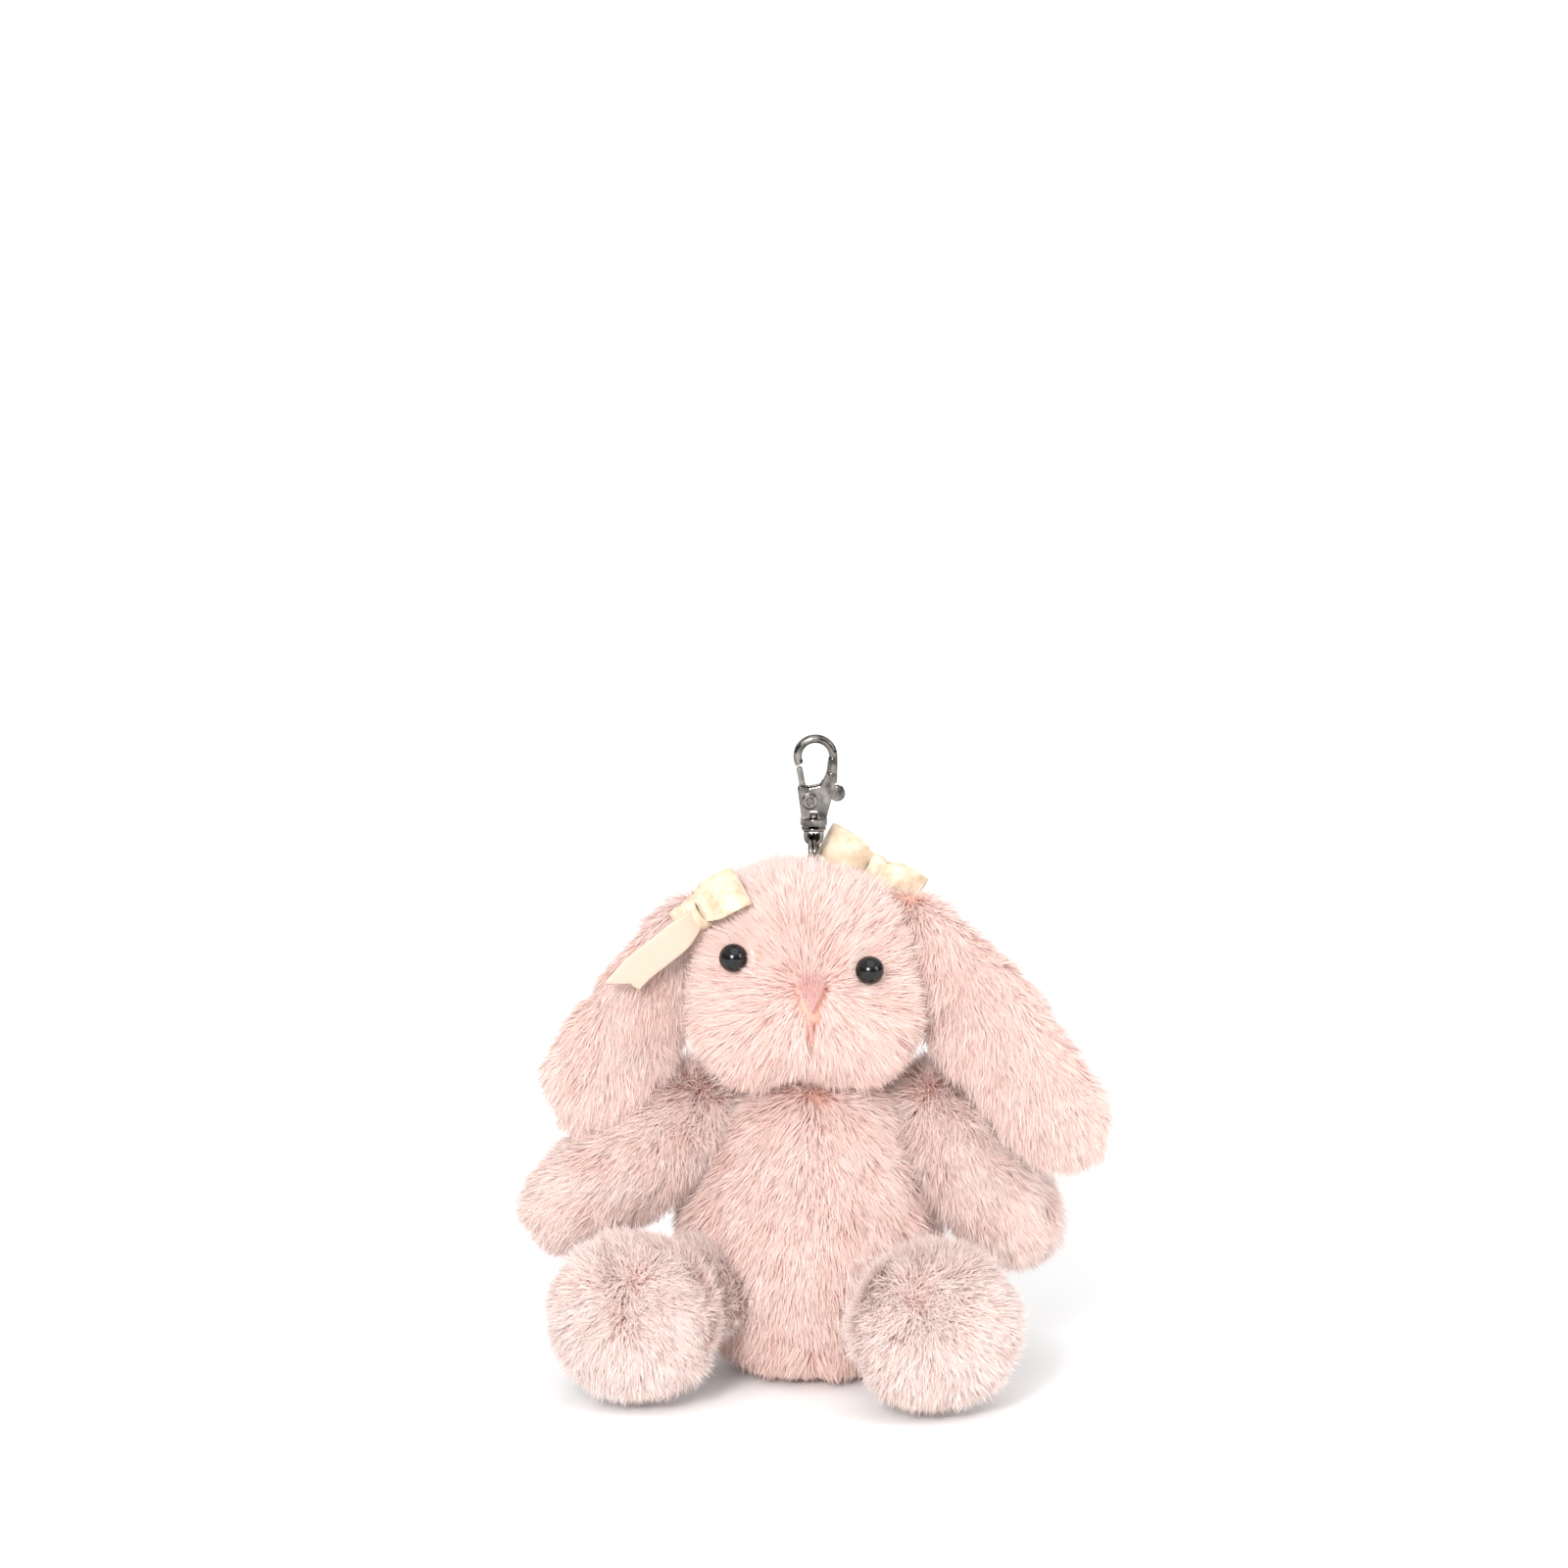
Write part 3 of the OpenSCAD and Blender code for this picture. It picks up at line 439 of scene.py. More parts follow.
def sewCover(name, forms, body, nodes, seams=(), floor=None, cap=stuffingLook["cap"]):
    # forms: rows of (start, end, start radius, end radius, frame, squeeze)
    shape = bmesh.new()
    for start, end, first, last, turn, squeeze in forms:
        start, end = Vector(start), Vector(end)
        steps = max(1, math.ceil((end - start).length / (0.3 * min(first, last))))
        for i in range(steps + 1):
            t = i / steps
            place = Matrix.Translation(start.lerp(end, t)) @ turn @ Matrix.Diagonal((*squeeze, 1))
            radius = first + (last - first) * t
            bmesh.ops.create_icosphere(shape, subdivisions=3, radius=radius, matrix=place)
    cover = newPiece(name, shape, finishes["backing"], body, nodes)
    blend = cover.modifiers.new("oneSkin", "REMESH")
    blend.mode = "VOXEL"
    blend.voxel_size = stuffingLook["voxel"] * mm
    applied(cover)
    shape = bmesh.new()
    shape.from_mesh(cover.data)
    for i in range(stuffingLook["smooth"]):
        bmesh.ops.smooth_vert(
            shape, verts=shape.verts, factor=0.5, use_axis_x=True, use_axis_y=True, use_axis_z=True)
    shape.to_mesh(cover.data)
    shape.free()
    inflate(cover, seams, cap)
    rounder = cover.modifiers.new("rounder", "SUBSURF")
    rounder.levels = rounder.render_levels = 1
    applied(cover)
    if floor is not None:  # rests flat
        co = coordsOf(cover.data)
        co[:, 2] = np.maximum(co[:, 2], floor * mm)
        cover.data.vertices.foreach_set("co", co.ravel())
        cover.data.update()
    cover.data.shade_smooth()
    print(name, "sewn,", len(cover.data.polygons), "faces")
    return cover


straight = Matrix.Identity(4)
plain = (1, 1, 1)


def ball(centre, radius, squeeze=plain, turn=straight):
    return (centre, centre, radius, radius, turn, squeeze)


# a row per stuffed form: where it starts and ends and its radius at each, under the pile
torsoForm = {
    "belly": ((0.8, 0, 32), (0, 0, 58), 28.8, 22.3),
    "low": ((0.5, 0, 22), 26.5),
    "side": ((-5.5, 1, 37), 26.6),
    "floor": 1.6,
}
torsoCover = sewCover(
    "torsoCover",
    [(*torsoForm["belly"], straight, plain), ball(*torsoForm["low"]), ball(*torsoForm["side"])],
    "torso", ["torso_front_panel", "torso_back_panel", "torso_stuffing"],
    seams=[((0, 0, 0), (1, 0, 0)), ((0, 0, 0), (0, 1, 0))], floor=torsoForm["floor"])

tailForm = {"centre": (0, 29.5, 15), "radius": 6}
tailCover = sewCover("tailCover", [ball(tailForm["centre"], tailForm["radius"])], "torso",
                     ["tail_cover", "tail_stuffing"], cap=0.6)

headForm = {
    "skull": ((-3, -3, 102.6), 24.8, (1.0, 0.94, 0.93)),
    "cheeks": (((-13.4, -13.5, 91.2), 14.6), ((9.2, -13.5, 91.2), 14.6)),
    "muzzle": ((-1, -18.5, 95.5), 12.6),
    "brow": ((-2, -9, 110), 16),
}
headCover = sewCover(
    "headCover",
    [ball(*headForm["skull"]), ball(*headForm["cheeks"][0]), ball(*headForm["cheeks"][1]),
     ball(*headForm["muzzle"]), ball(*headForm["brow"])],
    "head", ["head_left_panel", "head_gusset", "head_right_panel", "head_stuffing"],
    seams=[((-14, 0, 0), (1, 0, 0.1)), ((8, 0, 0), (1, 0, -0.1))], cap=1.2)


def earFrame(root, tip, turn):
    # Z runs down the ear, Y through its thickness
    run = tip - root
    polar = math.acos(run.z / run.length)
    around = math.atan2(run.y, run.x)
    aimed = Matrix.Rotation(around, 4, "Z") @ Matrix.Rotation(polar, 4, "Y")
    return aimed @ Matrix.Rotation(math.radians(turn), 4, "Z")


earForm = {
    "left": {"root": pivots["left_ear_lift"], "tip": Vector((-50.5, -10.5, 77.0)), "turn": 192,
             "radii": (9.6, 13.6, 15.2), "widest": 0.62},
    "right": {"root": pivots["right_ear_lift"], "tip": Vector((58.5, -20.5, 68.5)), "turn": -12,
              "radii": (9.5, 15.8, 13.6), "widest": 0.5},
    "flat": 0.3,
}
earCovers = {}
for side in ("left", "right"):
    form = earForm[side]
    turn = earFrame(form["root"], form["tip"], form["turn"])
    middle = form["root"].lerp(form["tip"], form["widest"])
    squeeze = (1, earForm["flat"], 1)
    small, wide, end = form["radii"]
    across = turn.to_3x3() @ Vector((0, 1, 0))
    earCovers[side] = sewCover(
        side + "EarCover",
        [(form["root"], middle, small, wide, turn, squeeze),
         (middle, form["tip"], wide, end, turn, squeeze)],
        side + "_ear", [side + "_ear_front", side + "_ear_back", side + "_ear_wadding"],
        seams=[(form["root"], across)], cap=1.0)

armForm = {
    "left": {"shoulder": pivots["left_arm_swing"], "paw": Vector((-57.6, -13, 45.2))},
    "right": {"shoulder": pivots["right_arm_swing"], "paw": Vector((47.4, -6.5, 40.2))},
    "radii": (11.4, 12.6, 11.4),
}
armCovers = {}
for side in ("left", "right"):
    form = armForm[side]
    first, middle, last = armForm["radii"]
    elbow = form["shoulder"].lerp(form["paw"], 0.45) + Vector((0, -0.5, 0.4))
    armCovers[side] = sewCover(
        side + "ArmCover",
        [(form["shoulder"], elbow, first, middle, straight, plain),
         (elbow, form["paw"], middle, last, straight, plain)],
        side + "_arm", [side + "_arm_front", side + "_arm_back", side + "_arm_stuffing"],
        seams=[(form["shoulder"], (0, 1, 0))], cap=1.0)

legForm = {
    "left": {"hip": pivots["left_leg_swing"], "foot": Vector((-43.2, -37, 22.9)), "turn": -14, "out": -5},
    "right": {"hip": pivots["right_leg_swing"], "foot": Vector((28.9, -46, 22.9)), "turn": 12, "out": 5},
    "radii": (11.5, 10.5),
    "rise": 9,  # how far the thigh's middle lies above the hinge
    "footRadius": 20.0,
    "footSqueeze": 0.5,
    "tilt": 6,
    "floor": 2.0,
}
legCovers = {}
footAxes = {}
for side in ("left", "right"):
    form = legForm[side]
    upright = Matrix.Rotation(math.radians(90 - legForm["tilt"]), 4, "X")
    turn = Matrix.Rotation(math.radians(form["turn"]), 4, "Z") @ upright
    footAxes[side] = turn.to_3x3() @ Vector((0, 0, 1))
    first, last = legForm["radii"]
    thigh = form["hip"] + Vector((form["out"], 4, legForm["rise"]))
    rim = legForm["footRadius"] - 3
    legCovers[side] = sewCover(
        side + "LegCover",
        [(thigh, form["foot"], first, last, straight, plain),
         ball(form["foot"], legForm["footRadius"], (1, 1, legForm["footSqueeze"]), turn),
         ball(form["foot"] + footAxes[side] * 2, rim, (1, 1, 0.55), turn),
         ball(form["foot"] - footAxes[side] * 2, rim, (1, 1, 0.55), turn)],
        side + "_leg",
        [side + "_leg_upper", side + "_leg_lower", side + "_foot_sole", side + "_leg_stuffing"],
        seams=[(form["foot"] + footAxes[side] * 6, footAxes[side])], floor=legForm["floor"], cap=1.2)

# pile


def unit(v):
    return v / np.maximum(np.linalg.norm(v, axis=-1, keepdims=True), 1e-9)


def scatter(cover, count, rng, wanted):
    # roots spread evenly over the cover, thinned where the pile isn't wanted
    mesh = cover.data
    mesh.calc_loop_triangles()
    corners = np.empty(len(mesh.loop_triangles) * 3, np.int32)
    mesh.loop_triangles.foreach_get("vertices", corners)
    corners = corners.reshape(-1, 3)
    co = coordsOf(mesh) / mm
    normal = np.empty(len(mesh.vertices) * 3, np.float32)
    mesh.vertices.foreach_get("normal", normal)
    normal = normal.reshape(-1, 3).astype(np.float64)
    a, b, c = (co[corners[:, i]] for i in range(3))
    size = np.linalg.norm(np.cross(b - a, c - a), axis=1) / 2
    share = size * wanted((a + b + c) / 3, unit(normal[corners].sum(1)))
    pick = rng.choice(len(corners), count, p=share / share.sum())
    u, v = rng.random(count)[:, None], rng.random(count)[:, None]
    folded = u + v > 1
    u, v = np.where(folded, 1 - u, u), np.where(folded, 1 - v, v)
    roots = a[pick] + (b - a)[pick] * u + (c - a)[pick] * v
    n = normal[corners[pick]]
    return roots, unit(n[:, 0] * (1 - u - v) + n[:, 1] * u + n[:, 2] * v)


pileLook = {
    "width": 0.24,
    "length": 5.9,
    "lift": 0.7,  # how far the hairs stand up, 0 flat to 1 upright
    "tuft": 9,  # hairs that cling together
    "cling": 0.22,
    "ruffle": 0.45,
    "fuzz": 0.28,
}


def growPile(name, cover, body, count, seed, comb, wanted, tint, trim=None, lowest=None, look=None):
    look = {**pileLook, **(look or {})}
    rng = np.random.default_rng(seed)
    roots, normals = scatter(cover, count, rng, wanted)
    flow = comb(roots, normals)
    flow = flow - (flow * normals).sum(1, keepdims=True) * normals
    # a weak pull leaves the hairs standing
    flow /= np.maximum(np.linalg.norm(flow, axis=1, keepdims=True), 1)
    # tufts share a ruffle, a length and a tint
    chosen = rng.choice(count, count // look["tuft"], replace=False)
    tree = kdtree.KDTree(len(chosen))
    for i, k in enumerate(chosen):
        tree.insert(roots[k], i)
    tree.balance()
    tuft = np.array([tree.find(p)[1] for p in roots])
    swirl = np.array([noise.noise_vector(Vector(roots[k]) / 7) for k in chosen])
    patch = np.array([noise.noise(Vector(roots[k]) / 5 + Vector((9, 4, 2))) for k in chosen])
    ruffle = flow[chosen] + look["ruffle"] * (2 * swirl + 0.5 * rng.normal(size=(len(chosen), 3)))
    tuftLength = 1 + 0.12 * rng.normal(size=len(chosen))
    run = 0.6 * flow + 0.7 * ruffle[tuft] + look["fuzz"] * rng.normal(size=(count, 3))
    length = look["length"] * np.clip(tuftLength[tuft] * (1 + 0.14 * rng.normal(size=count)), 0.5, 1.4)
    if trim is not None:
        length = length * trim(roots)
    length = length[:, None]
    lift = look["lift"]
    paths = [roots - normals * 0.5]
    for stand, part in ((lift * 1.8, 0.5), (lift * 0.8, 0.52)):
        paths.append(paths[-1] + unit(run + normals * stand) * length * part)
    middle = chosen[tuft]
    paths[2] = paths[2] + (paths[2][middle] - paths[2]) * look["cling"]
    if lowest is not None:
        for p in paths[1:]:
            p[:, 2] = np.maximum(p[:, 2], lowest + 0.4 * rng.random(count))
    # each hair is a narrow tapering blade, its face turned at random
    along = unit(paths[1] - paths[0])
    side = unit(np.cross(along, normals))
    over = np.cross(side, along)
    roll = rng.normal(size=count)[:, None] * 0.6
    side = side * np.cos(roll) + over * np.sin(roll)
    half = look["width"] / 2 * (0.8 + 0.5 * rng.random(count))[:, None]
    rows = []
    for path in paths[:2]:
        rows += [path - side * half, path + side * half]
    rows.append(paths[2])
    verts = np.stack(rows, 1).reshape(-1, 3) * mm
    first = (np.arange(count) * 5)[:, None]
    loops = (first + np.array([[0, 1, 3, 2, 2, 3, 4]])).ravel()
    starts = (np.arange(count) * 7)[:, None] + np.array([[0, 4]])
    mesh = bpy.data.meshes.new(name)
    mesh.vertices.add(count * 5)
    mesh.vertices.foreach_set("co", verts.ravel())
    mesh.loops.add(count * 7)
    mesh.loops.foreach_set("vertex_index", loops)
    mesh.polygons.add(count * 2)
    mesh.polygons.foreach_set("loop_start", starts.ravel())
    mesh.update(calc_edges=True)
    mesh.validate()
    hue = np.clip(tint(roots) + 0.28 * patch[tuft] + 0.1 * rng.normal(size=count), 0.03, 0.97)[:, None]
    u = hue + np.array([[-1, 1, 1, -1, -1, 1, 0]]) * 0.012
    v = np.array([[0.02, 0.02, 0.5, 0.5, 0.5, 0.5, 0.98]]) + 0 * u
    layer = mesh.uv_layers.new(name="OFBake")
    layer.data.foreach_set("uv", np.stack([u, v], 2).ravel())
    mesh.shade_smooth()
    mesh.materials.append(finishes["pile"])
    pile = bpy.data.objects.new(name, mesh)
    scene.collection.objects.link(pile)
    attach(pile, body)
    print(name, "combed,", count, "hairs")
    return pile


def away(point, pull=(0, 0, 0)):
    # combed away from a point, with a pull of its own
    return lambda p, n: unit(p - np.array(point)) + np.array(pull)


def fade(value, low, high):
    t = np.clip((value - low) / (high - low), 0, 1)
    return t * t * (3 - 2 * t)


def near(p, centre, radius):
    # 1 at the centre, 0 past the radius
    return 1 - fade(np.linalg.norm(p - np.array(centre), axis=1), 0.6 * radius, radius)


def everywhere(p, n):
    return np.ones(len(p))


grounded = 0.25  # height of the lowest hairs, which lie on the floor
torsoPile = {
    "swirlAt": (0, -18, 77),  # where the chest pile parts
    "front": 64000,
    "back": 47000,
}


def combTorso(p, n):
    out = unit(p - np.array(torsoPile["swirlAt"]))
    down = np.array([0, 0, -1.0])
    front = fade(-p[:, 1], -4, 14)[:, None]
    seam = (np.sign(p[:, 0]) * near(p * [1, 0, 0], (0, 0, 0), 5) * fade(-p[:, 2], -22, -8))[:, None]
    return out * front + down * (1.1 - front * 0.6) + seam * np.array([0.8, 0, 0])


# the torso pile's tone, with painted shade: darker towards the floor and at the sides
def torsoToneAndShade(p):
    return 0.62 - 0.3 * fade(-p[:, 2], -26, -4) - 0.1 * fade(np.abs(p[:, 0]), 16, 26)


def notUnder(p):
    # few hairs where the toy sits on them
    return 0.12 + 0.88 * fade(p[:, 2], 1.8, 4.5)


def trimTorso(p):
    return 0.35 + 0.65 * fade(p[:, 2], 2, 9)


def openNeck(p):
    # few hairs under the head
    return 0.35 + 0.65 * fade(-p[:, 2], -77, -70)


for name, count, seed, facing in (
        ("torsoPileFront", torsoPile["front"], 11, -1), ("torsoPileBack", torsoPile["back"], 12, 1)):
    growPile(name, torsoCover, "torso", count, seed, combTorso,
             lambda p, n: fade(facing * p[:, 1], -2.5, 0.5) * notUnder(p) * openNeck(p), torsoToneAndShade,
             trim=trimTorso, lowest=grounded)
tailPile = {"count": 8500, "look": {"lift": 0.9, "length": 6}}
growPile("tailPile", tailCover, "torso", tailPile["count"], 13, away((0, 24, 17), (0, 0, -0.2)), everywhere,
         lambda p: 0.6 + 0 * p[:, 0], look=tailPile["look"])

headPile = {
    "noseTop": (-0.7, -30, 103),
    "face": 66000,
    "nape": 56000,
    "faceLook": {"length": 6.6},
    "crown": (0, 0, 124),
}
noseMiddle = (-0.7, -31.5, 99.3)


def eyeSpots():
    # the middle of each eye's dome, from its CAD solid
    found = []
    for node in ("left_eye", "right_eye"):
        low, high = (np.array(c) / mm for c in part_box(node))
        found.append((low + high) / 2)
    return found


eyeCentres = eyeSpots()
print("eyes at", [list(map(float, np.round(c, 1))) for c in eyeCentres])


def combHead(p, n):
    out = unit(p - np.array(headPile["noseTop"]))
    chin = fade(-p[:, 2], -98, -86)[:, None] * fade(-p[:, 1], 8, 20)[:, None]
    return out + chin * np.array([0, 0, -0.5]) + fade(p[:, 1], 0, 16)[:, None] * np.array([0, 0, -0.9])


def wantedHead(front):
    def wanted(p, n):
        half = fade(-p[:, 1], 1.5, 4.5) if front else 1 - fade(-p[:, 1], 1.5, 4.5)
        aside = np.abs(p[:, 0] - noseMiddle[0])
        bare = (aside < 2.3 + (p[:, 2] - 99) * 0.22) & (np.abs(p[:, 2] - 98.2) < 4.0)
        bare |= (aside < 0.9) & (np.abs(p[:, 2] - 91.5) < 3)
        nose = 1 - (bare & (p[:, 1] < -20))
        under = 0.2 + 0.8 * (1 - fade(np.hypot(p[:, 0], p[:, 1] + 2), 22, 10) * fade(-p[:, 2], -84, -78))
        eyes = 1 - sum(near(p, c, 2.2) for c in eyeCentres)
        return half * nose * np.clip(eyes, 0, 1) * under
    return wanted


def trimHead(p):
    close = near(p, noseMiddle, 11) * 0.4
    eyes = sum(near(p, c, 6) for c in eyeCentres) * 0.05
    crown = near(p, headPile["crown"], 9) * 0.35
    return np.clip(1 - close - eyes - crown, 0.35, 1)


# the head pile's tone, with painted light on the crown and painted shade under the chin
def headToneAndLight(p):
    return 0.5 + 0.1 * fade(p[:, 2], 108, 122) - 0.2 * fade(-p[:, 2], -84, -76)


growPile("facePile", headCover, "head", headPile["face"], 21, combHead, wantedHead(True), headToneAndLight,
         trim=trimHead, look=headPile["faceLook"])
growPile("napePile", headCover, "head", headPile["nape"], 22, combHead, wantedHead(False), headToneAndLight,
         trim=trimHead)

earPile = {"count": 60000, "look": {"length": 6.3, "lift": 0.55}}
for k, side in enumerate(("left", "right")):
    form = earForm[side]
    growPile(side + "EarPile", earCovers[side], side + "_ear", earPile["count"], 31 + k,
             away(form["root"] + Vector((0, 0, 6)), (0, 0, -0.4)), everywhere,
             lambda p: 0.62 + 0 * p[:, 0], look=earPile["look"])

armPile = {"count": 50000}
for k, side in enumerate(("left", "right")):
    form = armForm[side]
    growPile(side + "ArmPile", armCovers[side], side + "_arm", armPile["count"], 41 + k,
             away(form["shoulder"] + Vector((0, 0, 4))), everywhere, lambda p: 0.72 + 0 * p[:, 0])

legPile = {"count": 65000, "look": {"lift": 0.75, "length": 5.4, "ruffle": 0.5, "fuzz": 0.33}}
for k, side in enumerate(("left", "right")):
    form = legForm[side]
    axis = np.array(footAxes[side])
    foot = np.array(form["foot"])

    def combLeg(p, n, axis=axis, foot=foot, hip=np.array(form["hip"])):
        out = p - foot
        out = out - (out @ axis)[:, None] * axis
        out = out / 26  # hardly any pull at the middle, strong at the rim
        sole = fade((p - foot) @ axis, 0, 6)[:, None]
        return sole * (out * 0.8 + np.array([0.12, 0, -0.4])) + (1 - sole) * (unit(foot - hip) + out * 0.5)

    # the foot pile's tone is darker near the floor, painted shade
    growPile(side + "LegPile", legCovers[side], side + "_leg", legPile["count"], 51 + k, combLeg,
             lambda p, n: notUnder(p), lambda p: 0.92 - 0.3 * fade(-p[:, 2], -12, -3),
             trim=lambda p: 0.4 + 0.6 * fade(p[:, 2], 2, 9), lowest=grounded, look=legPile["look"])

# face

noseLook = {
    "threads": 11,
    "thickness": 0.4,
    "mouthThread": 0.42,
    "width": 6.6,
    "foot": 2.6,  # how far its point stays above the stitch below
    "bulge": 0.9,
}


def threadPiece(name, paths, thickness, finish, body, nodes):
    # lays round threads along lists of points in millimetres
    strand = bpy.data.curves.new(name, "CURVE")
    strand.dimensions = "3D"
    strand.bevel_depth = thickness / 2
    strand.bevel_resolution = 2
    strand.use_fill_caps = True
    for path in paths:
        spline = strand.splines.new("POLY")
        spline.points.add(len(path) - 1)
        for point, place in zip(spline.points, path):
            point.co = (*place, 1)
    holder = bpy.data.objects.new(name + "Path", strand)
    scene.collection.objects.link(holder)
    bpy.context.view_layer.update()
    mesh = bpy.data.meshes.new_from_object(holder.evaluated_get(bpy.context.evaluated_depsgraph_get()))
    bpy.data.objects.remove(holder)
    bpy.data.curves.remove(strand)
    shape = bmesh.new()
    shape.from_mesh(mesh)
    bpy.data.meshes.remove(mesh)
    return newPiece(name, shape, finish, body, nodes)


def sewNose(look):
    low, high = (Vector(c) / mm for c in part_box("nose_stitches"))
    middle = (low + high) / 2
    face = low.y  # its front
    half, top, foot = look["width"] / 2, high.z, low.z + look["foot"]
    paths = []
    for i in range(look["threads"]):
        t = 2 * i / (look["threads"] - 1) - 1
        startX = middle.x + half * math.sin(t * 1.35)
        startZ = top - half * 0.62 * (1 - math.cos(t * 1.35)) * 1.7
        path = []
        for k in range(9):
            s = k / 8
            x = startX + (middle.x + t * 0.25 - startX) * s ** 1.25
            z = startZ + (foot - startZ) * s
            depth = look["bulge"] * math.sin(math.pi * (0.12 + 0.8 * s)) * math.cos(t * 1.2)
            path.append((x, face + 1.4 - depth - 0.12 * (i % 2), z))
        paths.append(path)
    return threadPiece("noseThreads", paths, look["thickness"], finishes["floss"], "head",
                       ["nose_stitches"])


def sewMouth():
    low, high = (Vector(c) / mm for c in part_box("mouth_stitch"))
    x, top, foot = (low.x + high.x) / 2, high.z + 0.6, low.z
    front = low.y + 0.6
    paths = []
    for offset in (-0.22, 0.2):  # two threads side by side
        run = np.linspace(0, 1, 7)
        paths.append([(x + offset * (1 - s * 0.4), front + 0.9 * s, top + (foot - top) * s) for s in run])
    return threadPiece("mouthThreads", paths, noseLook["mouthThread"], finishes["floss"], "head",
                       ["mouth_stitch"])


sewNose(noseLook)
sewMouth()
print("face sewn")

# ribbons


def ribbonShape(path, widths, across, cut=0.0, rows=6):
    # a strip drawn out along a path; across gives the direction of its width at each point
    shape = bmesh.new()
    count = len(path)
    edge = None
    for k in range(count):
        half = widths[k] / 2
        line = []
        for j in range(rows + 1):
            s = 2 * j / rows - 1
            slip = Vector((0, 0, 0))
            if cut and k == count - 1:
                slip = (Vector(path[k]) - Vector(path[k - 1])).normalized() * cut * s
            line.append(Vector(path[k]) + Vector(across[k]) * half * s + slip)
        if edge is None:
            edge = [shape.verts.new(p) for p in line]
            edges = [shape.edges.new((a, b)) for a, b in zip(edge, edge[1:])]
        else:
            out = bmesh.ops.extrude_edge_only(shape, edges=edges)["geom"]
            fresh = [g for g in out if isinstance(g, bmesh.types.BMVert)]
            edges = [g for g in out if isinstance(g, bmesh.types.BMEdge)
                     and g.verts[0] in fresh and g.verts[1] in fresh]
            pairs = {}
            for vert in fresh:  # each new vertex stands on the one it was drawn from
                link = [e.other_vert(vert) for e in vert.link_edges if e.other_vert(vert) in edge]
                pairs[edge.index(link[0])] = vert
            edge = [pairs[j] for j in range(rows + 1)]
            for vert, place in zip(edge, line):
                vert.co = place
    return shape


def smoothPath(points, count):
    # a smooth run through a few points
    pts = [Vector(p) for p in points]
    pts = [pts[0] * 2 - pts[1]] + pts + [pts[-1] * 2 - pts[-2]]
    out = []
    spans = len(pts) - 3
    for i in range(count):
        f = i / (count - 1) * spans
        k = min(int(f), spans - 1)
        t = f - k
        a, b, c, d = pts[k:k + 4]
        square = (2 * a - 5 * b + 4 * c - d) * t * t
        cube = (3 * b - a - 3 * c + d) * t ** 3
        out.append(0.5 * ((2 * b) + (c - a) * t + square + cube))
    return out


def addShape(whole, part, place):
    bmesh.ops.transform(part, matrix=place, verts=part.verts)
    held = bpy.data.meshes.new("held")
    part.to_mesh(held)
    part.free()
    whole.from_mesh(held)
    bpy.data.meshes.remove(held)


def finishRibbon(piece, thickness=0.55):
    wall = piece.modifiers.new("wall", "SOLIDIFY")
    wall.thickness = thickness * mm
    wall.offset = 0
    rounder = piece.modifiers.new("rounder", "SUBSURF")
    rounder.levels = rounder.render_levels = 1
    applied(piece)
    piece.data.shade_smooth()
    return piece


bowLook = {
    "left": {"knot": (-28, -15, 117.5), "turn": -32, "lean": 34, "tailTurn": 6, "tailDrop": 172,
             "loops": ((-1, 6.5, 7), (1, 14, 10.5)), "tail": 22},
    "right": {"knot": (14, 9, 122.6), "turn": 14, "lean": -30, "tailTurn": 14, "tailDrop": 12,
              "loops": ((-1, 14, 12), (1, 13.5, 10)), "tail": 9},
    "width": 8,
}


def knotFrame(look, turn):
    return (Matrix.Translation(look["knot"]) @ Matrix.Rotation(math.radians(turn), 4, "Z")
            @ Matrix.Rotation(math.radians(-look["lean"]), 4, "Y"))


